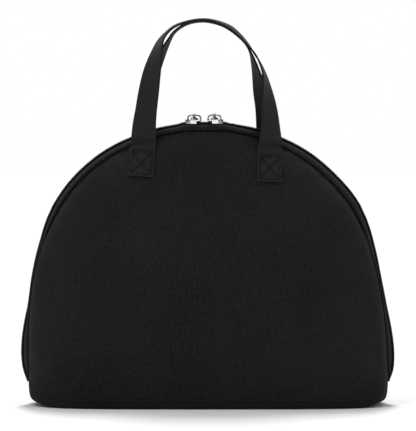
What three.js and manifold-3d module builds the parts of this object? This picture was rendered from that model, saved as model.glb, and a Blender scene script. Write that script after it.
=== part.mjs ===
// A soft half-round toiletry bag in black cloth, standing on its flat base.
// Two dome-shaped panels meet at a coil zip that runs over the arch from one lower corner to the other.
// A tray-shaped gusset closes the bottom. Two zip sliders meet at the crest, each with a hanging pull,
// and a webbing handle is sewn to each panel.
// Units are millimetres, +Z is up, +X is to the right seen from the front, and the front faces -Y.
// The origin is on the floor, in the middle of the base.
import * as THREE from 'three';
import { mergeVertices } from 'three/addons/utils/BufferGeometryUtils.js';
import Module from 'manifold-3d';

// Body
const BAG_WIDTH = 312;          // over the widest part of the zip, near the floor
const BAG_HEIGHT = 234;         // floor to the crest of the coil, beside the sliders
const BELLY_DEPTH = 116;        // front to back at the fullest height
const CLOTH_WALL = 1.6;         // outer cloth, padding and lining together
const RIM_HEIGHT = 7;           // floor to the seam between panel and gusset, in the middle
const GAP = 0.5;                // clearance between sewn pieces
const RIM_SHARPNESS = 22;       // how late the seam between panel and gusset climbs to the zip's ends
const SHOULDER = 0.25;          // share of the zip along each upright side of a panel

// Gusset, whose wall turns in under the bag as in a superellipse
const FOOT_TURN = 8;            // width of the rounding under the front and back
const END_TURN = 10;            // width of the rounding under the two ends
const TURN_POWER = 3;
const TURN_STEPS = [0, 0.42, 0.7, 0.88, 1];   // shares of the wall's height
const END_STEPS = 3;            // facets across each end

// Zip
const BAND_WIDTH = 20;          // panel seam to panel seam across the zip
const SEAM_REACH = 5.8;         // how far a seam can lie inside the coil's crest
const SEAM_STEP = 1.4;          // the tape stands this proud of the panel's edge
const TAPE_WALL = 0.9;
const TAPE_SLIT = 0.8;          // between the two tapes under the closed coil
const OPEN_SLIT = 5.2;          // between the two tapes where the sliders part them
const COIL_WIDTH = 6.6;
const COIL_HEIGHT = 1.8;
const ZIP_LIFT = 1.5;           // the sliders lift the zip above the arch by this much
const LIFT_RUN = 7;             // length over which the zip climbs to a slider
const SEAM_LIFT = 0.25;         // share of that lift that is left at the panel's seam
const FLANK = { drop: 0.42, spread: 0.6, lift: 0.55 };   // the tape's bend, as shares from coil to seam
const COIL_INTO_SLIDER = 3;     // the closed coil ends this far inside a slider's tail

// Sliders and pulls
const SLIDER_LENGTH = 13.8;
const SLIDER_WIDTH = 10.4;
const SLIDER_TAIL_WIDTH = 8.8;
const SLIDER_CORNER = 1.9;      // radius at the tail, and twice that at the nose
const SLIDER_SPACE = 4.2;       // between the two noses
const MEET_OFFSET = -2.8;       // the sliders meet this far from the middle of the bag
const PLATE_WALL = 1.0;
const FLANGE_WALL = 0.8;
const MOUTH_LENGTH = 4.4;       // the flanges end this far short of the nose, where the tapes run in
const POST_WIDTH = 2.8;         // the wedge between nose and channel that parts the teeth
const POST_LENGTH = 5.8;
const POST_WIDEST = 0.4;        // share of its length from its nose
const CROWN_LENGTH = 12;
const CROWN_FORWARD = 0.6;      // the crown sits this far towards the nose
const CROWN_HEIGHT = 4.1;
const CROWN_WALL = 1.1;
const CROWN_BEND = { from: 0.35, out: 0.94, to: 0.45 };   // shares of its height and half its length
const CROWN_WIDTH = 1.4;
const EYE_CLEARANCE = 0.3;      // between the crown's bar and the pull's eye
const RUN_CLEARANCE = 0.45;     // between metal and tape, coil or pull
const PULL_THICKNESS = 0.8;     // a strip of sheet, curled round the crown at its upper end
const PULL_NECK = 2.6;
const PULL_WIDTH = 6.4;
const PULL_LENGTH = 24;         // eye to tip

// Handles
const STRAP_WIDTH = 20;
const STRAP_WALL = 1.5;
const FEET_SPREAD = 108;        // between the middles of a handle's two feet
const STRAP_RISE = 134;         // lowest foot to the top of the strap's centreline
const HANDLE_RISE = 86.4;       // crest of the coil to the top of the strap's centreline
const SEWN_GAP = 0.65;          // between a strap's foot and its panel
const HANDLE_OFFSET = -2.5;     // the handles sit this far from the middle of the bag

// Fineness of the facets
const PANEL_COLUMNS = 24;
const PANEL_ROWS = 14;
const STRAP_STEPS = 60;
const EDGE_STEPS = 600;         // of the fine walk along a panel's edge
const CURVE_DIVISIONS = 1200;

// The coil's crest seen from the front, from the zip's left end over the arch to its right end.
// across is a share of half the width, up a share of the height, and seam a share of SEAM_REACH.
const OUTLINE = [
  { across: -0.968, up: 0.083, seam: 0.10 },
  { across: -0.989, up: 0.123, seam: 0.80 },
  { across: -1.000, up: 0.185, seam: 1.00 },
  { across: -0.988, up: 0.278, seam: 0.70 },
  { across: -0.965, up: 0.354, seam: 0.28 },
  { across: -0.941, up: 0.467, seam: 0.18 },
  { across: -0.907, up: 0.566, seam: 0.45 },
  { across: -0.842, up: 0.694, seam: 0.90 },
  { across: -0.727, up: 0.807, seam: 0.98 },
  { across: -0.556, up: 0.905, seam: 1.00 },
  { across: -0.373, up: 0.964, seam: 1.00 },
  { across: -0.190, up: 0.998, seam: 1.00 },
  { across: -0.015, up: 1.001, seam: 0.95 },
  { across: 0.160, up: 1.000, seam: 1.00 },
  { across: 0.338, up: 0.968, seam: 1.05 },
  { across: 0.497, up: 0.920, seam: 1.12 },
  { across: 0.621, up: 0.861, seam: 1.15 },
  { across: 0.778, up: 0.752, seam: 1.20 },
  { across: 0.850, up: 0.665, seam: 1.05 },
  { across: 0.900, up: 0.553, seam: 0.70 },
  { across: 0.930, up: 0.455, seam: 0.45 },
  { across: 0.960, up: 0.354, seam: 0.50 },
  { across: 0.989, up: 0.255, seam: 0.85 },
  { across: 1.000, up: 0.184, seam: 1.05 },
  { across: 0.996, up: 0.128, seam: 0.75 },
  { across: 0.974, up: 0.083, seam: 0.10 },
];

// The panel's middle line seen from the side: how deep it is at each height.
// up is a share of the height, and deep a share of half the belly's depth.
const SIDE_PROFILE = [
  { up: 0.00, deep: 0.900 },
  { up: 0.10, deep: 0.965 },
  { up: 0.24, deep: 1.000 },
  { up: 0.38, deep: 0.965 },
  { up: 0.52, deep: 0.880 },
  { up: 0.66, deep: 0.750 },
  { up: 0.78, deep: 0.600 },
  { up: 0.88, deep: 0.440 },
  { up: 0.94, deep: 0.310 },
  { up: 0.975, deep: 0.180 },
];

// How the panel turns to its seams at each height, as in a superellipse: a high side is boxy.
const ROUNDING = [
  { up: 0.00, side: 5.0, front: 2.0 },
  { up: 0.30, side: 3.8, front: 2.0 },
  { up: 0.60, side: 3.0, front: 1.8 },
  { up: 1.00, side: 2.6, front: 1.5 },
];

// Dents and swellings of the two panels. Places and reaches are shares of half the width and of the
// height, lean is in degrees from upright, and rise is a share of half the belly's depth.
const FRONT_FOLDS = [
  { across: 0.885, up: 0.37, wide: 0.05, tall: 0.17, lean: 4, rise: -0.050 },
  { across: 0.560, up: 0.22, wide: 0.16, tall: 0.26, lean: 38, rise: -0.045 },
  { across: 0.790, up: 0.20, wide: 0.09, tall: 0.16, lean: 20, rise: 0.030 },
  { across: -0.880, up: 0.33, wide: 0.05, tall: 0.16, lean: -3, rise: -0.030 },
  { across: -0.800, up: 0.36, wide: 0.07, tall: 0.18, lean: -6, rise: 0.025 },
  { across: -0.900, up: 0.07, wide: 0.06, tall: 0.08, lean: 30, rise: -0.035 },
];
const BACK_FOLDS = [
  { across: 0.860, up: 0.34, wide: 0.06, tall: 0.17, lean: 5, rise: -0.040 },
  { across: -0.600, up: 0.24, wide: 0.16, tall: 0.24, lean: -34, rise: -0.040 },
  { across: -0.860, up: 0.30, wide: 0.06, tall: 0.18, lean: -5, rise: -0.035 },
];

// The closed coil's section, as shares of its width and height.
const COIL_SECTION = [
  { across: -0.5, up: 0 },
  { across: -0.4, up: 0.72 },
  { across: 0, up: 1 },
  { across: 0.4, up: 0.72 },
  { across: 0.5, up: 0 },
];

// A strap's centreline from its left foot to its right foot, both seen from the front.
// across is a share of half the spread of the feet, rise a share of STRAP_RISE above the lowest
// foot, forward a share of the strap's width in front of the zip, and twist in degrees: 0 lies
// flat on the panel and 90 is edge-on. sewn is 1 where the strap lies on the panel.
const FRONT_STRAP = [
  { across: -0.976, rise: 0.034, forward: 0, twist: 0, sewn: 1 },
  { across: -0.946, rise: 0.194, forward: 0, twist: 1, sewn: 1 },
  { across: -0.933, rise: 0.269, forward: 0.90, twist: 9, sewn: 0 },
  { across: -0.919, rise: 0.361, forward: 0.74, twist: 22, sewn: 0 },
  { across: -0.898, rise: 0.440, forward: 0.66, twist: 29, sewn: 0 },
  { across: -0.856, rise: 0.560, forward: 0.61, twist: 35, sewn: 0 },
  { across: -0.815, rise: 0.660, forward: 0.59, twist: 44, sewn: 0 },
  { across: -0.757, rise: 0.760, forward: 0.57, twist: 58, sewn: 0 },
  { across: -0.684, rise: 0.859, forward: 0.56, twist: 76, sewn: 0 },
  { across: -0.598, rise: 0.911, forward: 0.55, twist: 84, sewn: 0 },
  { across: -0.432, rise: 0.963, forward: 0.55, twist: 86, sewn: 0 },
  { across: -0.009, rise: 1.000, forward: 0.55, twist: 87, sewn: 0 },
  { across: 0.357, rise: 0.958, forward: 0.55, twist: 83, sewn: 0 },
  { across: 0.509, rise: 0.912, forward: 0.55, twist: 83, sewn: 0 },
  { across: 0.630, rise: 0.860, forward: 0.55, twist: 85, sewn: 0 },
  { across: 0.767, rise: 0.788, forward: 0.55, twist: 90, sewn: 0 },
  { across: 0.841, rise: 0.737, forward: 0.57, twist: 88, sewn: 0 },
  { across: 0.909, rise: 0.669, forward: 0.58, twist: 83, sewn: 0 },
  { across: 0.937, rise: 0.618, forward: 0.59, twist: 76, sewn: 0 },
  { across: 0.969, rise: 0.524, forward: 0.61, twist: 62, sewn: 0 },
  { across: 0.993, rise: 0.437, forward: 0.66, twist: 51, sewn: 0 },
  { across: 1.009, rise: 0.321, forward: 0.80, twist: 39, sewn: 0 },
  { across: 1.009, rise: 0.246, forward: 0.97, twist: 22, sewn: 0 },
  { across: 1.002, rise: 0.175, forward: 0, twist: 3, sewn: 1 },
  { across: 0.991, rise: 0.000, forward: 0, twist: 0, sewn: 1 },
];
const BACK_STRAP = [
  { across: -0.981, rise: 0.022, forward: 0, twist: 0, sewn: 1 },
  { across: -0.969, rise: 0.190, forward: 0, twist: 1, sewn: 1 },
  { across: -0.954, rise: 0.269, forward: 0.90, twist: 9, sewn: 0 },
  { across: -0.935, rise: 0.358, forward: 0.75, twist: 22, sewn: 0 },
  { across: -0.902, rise: 0.448, forward: 0.66, twist: 34, sewn: 0 },
  { across: -0.828, rise: 0.612, forward: 0.60, twist: 55, sewn: 0 },
  { across: -0.781, rise: 0.679, forward: 0.59, twist: 64, sewn: 0 },
  { across: -0.676, rise: 0.775, forward: 0.57, twist: 74, sewn: 0 },
  { across: -0.548, rise: 0.875, forward: 0.55, twist: 84, sewn: 0 },
  { across: -0.465, rise: 0.925, forward: 0.55, twist: 87, sewn: 0 },
  { across: -0.272, rise: 0.975, forward: 0.55, twist: 88, sewn: 0 },
  { across: -0.019, rise: 0.991, forward: 0.55, twist: 89, sewn: 0 },
  { across: 0.280, rise: 0.962, forward: 0.55, twist: 90, sewn: 0 },
  { across: 0.515, rise: 0.899, forward: 0.55, twist: 90, sewn: 0 },
  { across: 0.635, rise: 0.849, forward: 0.55, twist: 90, sewn: 0 },
  { across: 0.704, rise: 0.800, forward: 0.56, twist: 88, sewn: 0 },
  { across: 0.763, rise: 0.726, forward: 0.57, twist: 80, sewn: 0 },
  { across: 0.809, rise: 0.651, forward: 0.59, twist: 70, sewn: 0 },
  { across: 0.867, rise: 0.552, forward: 0.61, twist: 55, sewn: 0 },
  { across: 0.931, rise: 0.452, forward: 0.66, twist: 41, sewn: 0 },
  { across: 0.970, rise: 0.353, forward: 0.75, twist: 24, sewn: 0 },
  { across: 0.985, rise: 0.239, forward: 0.98, twist: 7, sewn: 0 },
  { across: 0.987, rise: 0.172, forward: 0, twist: 1, sewn: 1 },
  { across: 0.994, rise: 0.011, forward: 0, twist: 0, sewn: 1 },
];

// Sizes that follow
const HALF_WIDTH = BAG_WIDTH / 2;
const HALF_BELLY = BELLY_DEPTH / 2;
const HALF_BAND = BAND_WIDTH / 2;
const HANDLE_TOP = BAG_HEIGHT + HANDLE_RISE;
const COIL_SEAT = TAPE_WALL / 2 + GAP;                 // tape's middle surface to the coil's foot
const CREST_ABOVE_TAPE = COIL_SEAT + COIL_HEIGHT;      // tape's middle surface to the coil's crest
const PLATE_SEAT = CREST_ABOVE_TAPE + RUN_CLEARANCE;   // tape's middle surface to the top plate
const PLATE_TOP = PLATE_SEAT + PLATE_WALL;
const SLOT_HALF = TAPE_WALL / 2 + RUN_CLEARANCE;       // half the slot that a tape runs through
const SLIDER_REACH = SLIDER_LENGTH + SLIDER_SPACE / 2; // meeting point to a slider's tail
const PARTED_REACH = SLIDER_SPACE / 2 + PLATE_WALL + POST_LENGTH * 1.3;   // meeting point to the closed coil
const EYE_RADIUS = Math.hypot(CROWN_WIDTH, CROWN_WALL) / 2 + EYE_CLEARANCE;
const PIVOT_ABOVE_PLATE = CROWN_HEIGHT - CROWN_WALL / 2;
const PULL_DROOP = Math.acos(                          // the pull hangs on the top plate's edge
  (PULL_THICKNESS / 2 + RUN_CLEARANCE) / Math.hypot(PIVOT_ABOVE_PLATE, SLIDER_WIDTH / 2),
) - Math.atan2(SLIDER_WIDTH / 2, PIVOT_ABOVE_PLATE);

const lerp = THREE.MathUtils.lerp;
const radians = THREE.MathUtils.degToRad;
const vector = (x, y, z) => new THREE.Vector3(x, y, z);

// Reads a column of a table at a value of its key, with a smooth curve through the rows.
function readTable(table, key, column, value) {
  const last = table.length - 1;
  const at = THREE.MathUtils.clamp(value, table[0][key], table[last][key]);
  let row = 0;
  while (row < last - 1 && at > table[row + 1][key]) row += 1;
  const slope = (i) => {
    const before = table[Math.max(i - 1, 0)];
    const after = table[Math.min(i + 1, last)];
    return (after[column] - before[column]) / (after[key] - before[key]);
  };
  const low = table[row];
  const high = table[row + 1];
  const span = high[key] - low[key];
  const q = (at - low[key]) / span;
  const rise = (3 - 2 * q) * q * q;
  return lerp(low[column], high[column], rise)
    + span * slope(row) * q * (1 - q) * (1 - q)
    - span * slope(row + 1) * q * q * (1 - q);
}

// The zip line: the coil's crest in the XZ plane, with the seam's share riding in y.
const zipCurve = new THREE.CatmullRomCurve3(
  OUTLINE.map((row) => vector(row.across * HALF_WIDTH, row.seam * SEAM_REACH, row.up * BAG_HEIGHT)),
  false,
  'centripetal',
);
zipCurve.arcLengthDivisions = CURVE_DIVISIONS;

function zipFrame(t) {
  const point = zipCurve.getPointAt(t);
  const tangent = zipCurve.getTangentAt(t).setY(0).normalize();
  return {
    crest: vector(point.x, 0, point.z),
    out: vector(-tangent.z, 0, tangent.x),
    seamDrop: point.y,
  };
}

// The share of the zip at which its crest passes a given x near the top.
function zipShareAt(x) {
  let low = SHOULDER;
  let high = 1 - SHOULDER;
  for (let i = 0; i < 50; i += 1) {
    const middle = (low + high) / 2;
    if (zipCurve.getPointAt(middle).x < x) low = middle;
    else high = middle;
  }
  return (low + high) / 2;
}

// How far the zip is lifted at x by the sliders, from 0 to 1.
function liftAt(x) {
  const beyond = Math.abs(x - MEET_OFFSET) - SLIDER_REACH;
  return 1 - THREE.MathUtils.smoothstep(beyond, 0, LIFT_RUN);
}

// A point of the zip band: n is measured out from the coil's crest, y across the zip.
function bandPoint(t, n, y, lifted) {
  const { crest, out } = zipFrame(t);
  const rise = n + lifted * ZIP_LIFT * liftAt(crest.x);
  return crest.clone().addScaledVector(out, rise).setY(y);
}

// The edge of a panel along the zip, in the XZ plane.
function panelEdge(t) {
  return bandPoint(t, -zipFrame(t).seamDrop - SEAM_STEP, 0, SEAM_LIFT);
}

// The panel edge's x at a height on one side, from a fine walk along the edge.
const edgeWalk = Array.from({ length: EDGE_STEPS + 1 }, (_, i) => panelEdge(i / EDGE_STEPS));
const crestIndex = edgeWalk.reduce((best, p, i) => (p.z > edgeWalk[best].z ? i : best), 0);
const sideWalks = {
  left: edgeWalk.slice(0, crestIndex + 1),
  right: edgeWalk.slice(crestIndex).reverse(),
};
const middleX = edgeWalk[crestIndex].x;

function edgeXAt(side, z) {
  const walk = sideWalks[side];
  let low = 0;
  let high = walk.length - 1;
  if (z <= walk[low].z) return walk[low].x;
  if (z >= walk[high].z) return walk[high].x;
  while (high - low > 1) {
    const middle = (low + high) >> 1;
    if (walk[middle].z > z) high = middle;
    else low = middle;
  }
  const q = (z - walk[low].z) / (walk[high].z - walk[low].z);
  return lerp(walk[low].x, walk[high].x, q);
}

// How far a fold raises the panel at a place, as a share of half the belly's depth.
function foldAt(folds, x, z) {
  return folds.reduce((sum, fold) => {
    const dx = x / HALF_WIDTH - fold.across;
    const dz = z / BAG_HEIGHT - fold.up;
    const lean = radians(fold.lean);
    const across = (dx * Math.cos(lean) + dz * Math.sin(lean)) / fold.wide;
    const along = (dz * Math.cos(lean) - dx * Math.sin(lean)) / fold.tall;
    return sum + fold.rise * Math.exp(-across * across - along * along);
  }, 0);
}

// Half the bag's depth at a point of the panel.
function depthAt(x, z, folds) {
  const up = z / BAG_HEIGHT;
  const edge = edgeXAt(x < middleX ? 'left' : 'right', z);
  const share = Math.min(Math.abs((x - middleX) / (edge - middleX || 1)), 1);
  const side = readTable(ROUNDING, 'up', 'side', up);
  const front = readTable(ROUNDING, 'up', 'front', up);
  const turn = (1 - share ** side) ** (1 / front);
  const full = readTable(SIDE_PROFILE, 'up', 'deep', up) * HALF_BELLY;
  const edgeDepth = HALF_BAND + GAP;
  return edgeDepth + Math.max(full - edgeDepth, 0) * turn + foldAt(folds, x, z) * HALF_BELLY * turn;
}

// The depth of a layer that lies on the panel's face, lift measured square to the face.
function overPanel(x, z, folds, lift) {
  const here = depthAt(x, z, folds);
  const leanX = depthAt(x + 1, z, folds) - here;
  const leanZ = depthAt(x, z + 1, folds) - here;
  return here + lift * Math.hypot(1, leanX, leanZ);
}

// The seam between a panel and the gusset: it runs low along the floor and climbs to the zip's ends.
const ends = { left: panelEdge(0), right: panelEdge(1) };

function rimPoint(share) {
  const x = lerp(ends.left.x, ends.right.x, share);
  const end = x < 0 ? ends.left : ends.right;
  const climb = Math.abs(x / end.x) ** RIM_SHARPNESS;
  return vector(x, 0, lerp(RIM_HEIGHT, end.z, climb));
}

// Grid lines of a panel: across they crowd towards the sides, where the cloth turns.
const columnShares = Array.from(
  { length: PANEL_COLUMNS + 1 },
  (_, i) => (1 + Math.sin(((2 * i) / PANEL_COLUMNS - 1) * Math.PI / 2)) / 2,
);
const rowShares = Array.from({ length: PANEL_ROWS + 1 }, (_, j) => j / PANEL_ROWS);

// The panel's outer face: a grid that spans the gusset's seam, the two upright sides and the arch.
function panelGrid(folds, sign) {
  const arch = (w) => panelEdge(lerp(SHOULDER, 1 - SHOULDER, w));
  const left = (v) => panelEdge(SHOULDER * v);
  const right = (v) => panelEdge(1 - SHOULDER * v);
  return rowShares.map((v) => columnShares.map((w) => {
    const point = rimPoint(w).multiplyScalar(1 - v)
      .addScaledVector(arch(w), v)
      .addScaledVector(left(v), 1 - w)
      .addScaledVector(right(v), w)
      .addScaledVector(left(0), -(1 - w) * (1 - v))
      .addScaledVector(right(0), -w * (1 - v))
      .addScaledVector(left(1), -(1 - w) * v)
      .addScaledVector(right(1), -w * v);
    return point.setY(sign * depthAt(point.x, point.z, folds));
  }));
}

// Unit normals of a grid of points, by the cross product of its two directions.
function gridNormals(grid, wrap = false) {
  const rows = grid.length;
  const columns = grid[0].length;
  return grid.map((row, i) => row.map((_, j) => {
    const up = grid[Math.min(i + 1, rows - 1)][j].clone().sub(grid[Math.max(i - 1, 0)][j]);
    const next = wrap ? (j + 1) % columns : Math.min(j + 1, columns - 1);
    const back = wrap ? (j - 1 + columns) % columns : Math.max(j - 1, 0);
    const along = row[next].clone().sub(row[back]);
    return along.cross(up).normalize();
  }));
}

const shifted = (grid, normals, by) => grid.map(
  (row, i) => row.map((p, j) => p.clone().addScaledVector(normals[i][j], by)),
);

// A closed geometry from triangles given as point lists.
class Facets {
  constructor() { this.positions = []; }

  triangle(a, b, c) { [a, b, c].forEach((p) => this.positions.push(p.x, p.y, p.z)); }

  quad(a, b, c, d) {
    this.triangle(a, b, c);
    this.triangle(a, c, d);
  }

  geometry() {
    const flat = new THREE.BufferGeometry();
    flat.setAttribute('position', new THREE.Float32BufferAttribute(this.positions, 3));
    const merged = mergeVertices(flat, 1e-4);
    return volumeOf(merged) < 0 ? turnedOut(merged) : merged;
  }
}

function volumeOf(geometry) {
  const p = geometry.getAttribute('position');
  const index = geometry.index;
  let six = 0;
  for (let i = 0; i < index.count; i += 3) {
    const [a, b, c] = [0, 1, 2].map((k) => new THREE.Vector3().fromBufferAttribute(p, index.getX(i + k)));
    six += a.dot(b.cross(c));
  }
  return six / 6;
}

function turnedOut(geometry) {
  const order = Array.from(geometry.index.array);
  for (let i = 0; i < order.length; i += 3) [order[i + 1], order[i + 2]] = [order[i + 2], order[i + 1]];
  geometry.setIndex(order);
  return geometry;
}

// A wall between two grids that match point for point, closed along its edges.
function wallBetween(outer, inner) {
  const facets = new Facets();
  const rows = outer.length - 1;
  const columns = outer[0].length - 1;
  for (let i = 0; i < rows; i += 1) {
    for (let j = 0; j < columns; j += 1) {
      facets.quad(outer[i][j], outer[i][j + 1], outer[i + 1][j + 1], outer[i + 1][j]);
      facets.quad(inner[i][j], inner[i + 1][j], inner[i + 1][j + 1], inner[i][j + 1]);
    }
    facets.quad(outer[i][0], outer[i + 1][0], inner[i + 1][0], inner[i][0]);
    facets.quad(outer[i][columns], inner[i][columns], inner[i + 1][columns], outer[i + 1][columns]);
  }
  for (let j = 0; j < columns; j += 1) {
    facets.quad(outer[0][j], inner[0][j], inner[0][j + 1], outer[0][j + 1]);
    facets.quad(outer[rows][j], outer[rows][j + 1], inner[rows][j + 1], inner[rows][j]);
  }
  return facets.geometry();
}

// A bar whose sections are rings of points, with its two ends closed.
function barThrough(sections) {
  const facets = new Facets();
  const count = sections[0].length;
  for (let i = 0; i + 1 < sections.length; i += 1) {
    for (let j = 0; j < count; j += 1) {
      const next = (j + 1) % count;
      facets.quad(sections[i][j], sections[i][next], sections[i + 1][next], sections[i + 1][j]);
    }
  }
  const first = sections[0];
  const last = sections[sections.length - 1];
  for (let j = 1; j + 1 < count; j += 1) {
    facets.triangle(first[0], first[j + 1], first[j]);
    facets.triangle(last[0], last[j], last[j + 1]);
  }
  return facets.geometry();
}

// Panels
function panelGeometry(folds, sign) {
  const outer = panelGrid(folds, sign);
  const normals = gridNormals(outer);
  return wallBetween(outer, shifted(outer, normals, -sign * CLOTH_WALL * inwardOf(normals)));
}

// The grid's normals point to one side of the panel: 1 if that is away from the viewer.
function inwardOf(normals) {
  const middle = normals[PANEL_ROWS >> 1][PANEL_COLUMNS >> 1];
  return Math.sign(middle.y);
}

// Gusset: rings of points from the seam down to the floor, and a flat base.
function gussetRings() {
  const edge = (folds, sign) => columnShares.map((w) => {
    const p = rimPoint(w);
    return { x: p.x, y: sign * depthAt(p.x, p.z, folds), z: p.z };
  });
  const front = edge(FRONT_FOLDS, -1);
  const back = edge(BACK_FOLDS, 1).reverse();
  const endWall = (from, to) => Array.from({ length: END_STEPS - 1 }, (_, i) => {
    const q = (i + 1) / END_STEPS;
    return { x: lerp(from.x, to.x, q), y: lerp(from.y, to.y, q), z: from.z };
  });
  const loop = [
    ...front, ...endWall(front[front.length - 1], back[0]),
    ...back, ...endWall(back[back.length - 1], front[0]),
  ];
  const turns = loop.map((p, i) => {
    const before = loop[(i - 1 + loop.length) % loop.length];
    const after = loop[(i + 1) % loop.length];
    const along = vector(after.x - before.x, after.y - before.y, 0).normalize();
    return { along, width: lerp(FOOT_TURN, END_TURN, along.y ** 2) };
  });
  return TURN_STEPS.map((fall) => loop.map((p, i) => {
    const { along, width } = turns[i];
    const inward = width * (1 - (1 - fall ** TURN_POWER) ** (1 / TURN_POWER));
    return vector(p.x - along.y * inward, p.y + along.x * inward, (p.z - GAP) * (1 - fall));
  }));
}

function gussetGeometry() {
  const outer = gussetRings();
  const normals = gridNormals(outer, true);
  const flip = Math.sign(normals[1][0].x) === Math.sign(outer[1][0].x) ? -1 : 1;
  const last = outer.length - 1;
  const inner = shifted(outer, normals, flip * CLOTH_WALL);
  inner[0].forEach((p, j) => { p.z = outer[0][j].z; });
  inner[last].forEach((p, j) => {
    p.copy(outer[last][j]);
    p.z = CLOTH_WALL;
  });
  const facets = new Facets();
  const count = outer[0].length;
  const floorMiddle = vector(0, 0, 0);
  const insideMiddle = vector(0, 0, CLOTH_WALL);
  for (let j = 0; j < count; j += 1) {
    const next = (j + 1) % count;
    for (let i = 0; i < last; i += 1) {
      facets.quad(outer[i][j], outer[i][next], outer[i + 1][next], outer[i + 1][j]);
      facets.quad(inner[i][j], inner[i + 1][j], inner[i + 1][next], inner[i][next]);
    }
    facets.quad(outer[0][j], inner[0][j], inner[0][next], outer[0][next]);
    facets.triangle(outer[last][j], outer[last][next], floorMiddle);
    facets.triangle(inner[last][j], insideMiddle, inner[last][next]);
  }
  return facets.geometry();
}

// Shares of the zip at which the tapes have a section: the panel's own edge points, and more of
// them around the sliders.
function bandShares() {
  const sides = rowShares.map((v) => SHOULDER * v);
  const arch = columnShares.map((w) => lerp(SHOULDER, 1 - SHOULDER, w));
  const near = [0, 0.5, 1].flatMap((q) => {
    const reach = SLIDER_REACH + q * LIFT_RUN;
    return [zipShareAt(MEET_OFFSET - reach), zipShareAt(MEET_OFFSET + reach)];
  });
  const noses = [-1, 1].flatMap((side) => [SLIDER_SPACE / 2, PARTED_REACH]
    .map((reach) => zipShareAt(MEET_OFFSET + side * reach)));
  const all = [...sides, ...arch, ...sides.map((t) => 1 - t), ...near, ...noses];
  all.sort((a, b) => a - b);
  return all.filter((t, i) => i === 0 || t - all[i - 1] > 1e-3);
}

// Half the slit between the tapes: closed along the coil, parted between the sliders.
function slitAt(x) {
  const reach = Math.abs(x - MEET_OFFSET);
  const parted = 1 - THREE.MathUtils.smoothstep(reach, SLIDER_SPACE / 2, PARTED_REACH);
  return lerp(TAPE_SLIT, OPEN_SLIT, parted) / 2;
}

// A tape runs from the slit out over the slider's flank and down to the panel's seam.
function tapeGeometry(sign) {
  const middle = bandShares().map((t) => {
    const { crest, seamDrop } = zipFrame(t);
    const flank = lerp(COIL_WIDTH / 2, SLIDER_WIDTH / 2 + RUN_CLEARANCE, liftAt(crest.x));
    const low = -CREST_ABOVE_TAPE;
    return [
      bandPoint(t, low, sign * slitAt(crest.x), 1),
      bandPoint(t, low, sign * flank, 1),
      bandPoint(t, lerp(low, -seamDrop, FLANK.drop), sign * lerp(flank, HALF_BAND, FLANK.spread), FLANK.lift),
      bandPoint(t, -seamDrop - TAPE_WALL / 2, sign * HALF_BAND, SEAM_LIFT),
    ];
  });
  const normals = gridNormals(middle);
  return wallBetween(
    shifted(middle, normals, TAPE_WALL / 2),
    shifted(middle, normals, -TAPE_WALL / 2),
  );
}

// The closed coil on one side of the sliders, a domed bar that ends inside a slider's tail.
function coilGeometry(side) {
  const stop = zipShareAt(MEET_OFFSET + side * (SLIDER_REACH - COIL_INTO_SLIDER));
  const shares = bandShares().filter((t) => (side < 0 ? t < stop : t > stop));
  if (side < 0) shares.push(stop);
  else shares.unshift(stop);
  const kept = shares.filter((t, i) => i === 0 || t - shares[i - 1] > 1e-4);
  return barThrough(kept.map((t) => COIL_SECTION.map(({ across, up }) => bandPoint(
    t,
    (up - 1) * COIL_HEIGHT,
    across * COIL_WIDTH,
    1,
  ))));
}

// Solids that need a union or a cut go through manifold-3d.
const wasm = await Module();
wasm.setup();

function solidOf(geometry, matrix = new THREE.Matrix4()) {
  const bare = (geometry.index ? geometry.toNonIndexed() : geometry.clone()).applyMatrix4(matrix);
  ['normal', 'uv'].forEach((name) => bare.deleteAttribute(name));
  const merged = mergeVertices(bare, 1e-4);
  return new wasm.Manifold(new wasm.Mesh({
    numProp: 3,
    vertProperties: new Float32Array(merged.getAttribute('position').array),
    triVerts: new Uint32Array(merged.index.array),
  }));
}

function geometryOf(solid) {
  const mesh = solid.getMesh();
  const geometry = new THREE.BufferGeometry();
  geometry.setAttribute('position', new THREE.BufferAttribute(new Float32Array(mesh.vertProperties), 3));
  geometry.setIndex(new THREE.BufferAttribute(new Uint32Array(mesh.triVerts), 1));
  return geometry;
}

// A flat outline drawn in (x, y) and made thick along z, centred there.
function plateOf(shape, wall, curveSegments = 6) {
  return new THREE.ExtrudeGeometry(shape, { depth: wall, bevelEnabled: false, curveSegments })
    .translate(0, 0, -wall / 2);
}

// Slider, in its own frame: +x runs from tail to nose, y across, z out of the bag from the tape.
function sliderOutline(trim) {
  const nose = SLIDER_LENGTH / 2 - trim;
  const tail = -SLIDER_LENGTH / 2 + trim;
  const wide = SLIDER_WIDTH / 2 - trim;
  const slim = SLIDER_TAIL_WIDTH / 2 - trim;
  const corner = SLIDER_CORNER;
  const shape = new THREE.Shape();
  shape.moveTo(tail + corner, -slim);
  shape.lineTo(nose - corner * 2, -wide);
  shape.quadraticCurveTo(nose, -wide, nose, -wide + corner * 2);
  shape.lineTo(nose, wide - corner * 2);
  shape.quadraticCurveTo(nose, wide, nose - corner * 2, wide);
  shape.lineTo(tail + corner, slim);
  shape.quadraticCurveTo(tail, slim, tail, slim - corner);
  shape.lineTo(tail, -slim + corner);
  shape.quadraticCurveTo(tail, -slim, tail + corner, -slim);
  return shape;
}

// One side of the crown's arch, drawn from way * half over the top to the other foot.
function crownArch(shape, half, height, way) {
  const { from, out, to } = CROWN_BEND;
  shape.lineTo(way * half, height * from);
  shape.quadraticCurveTo(way * half * out, height, way * half * to, height);
  shape.lineTo(-way * half * to, height);
  shape.quadraticCurveTo(-way * half * out, height, -way * half, height * from);
}

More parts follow.
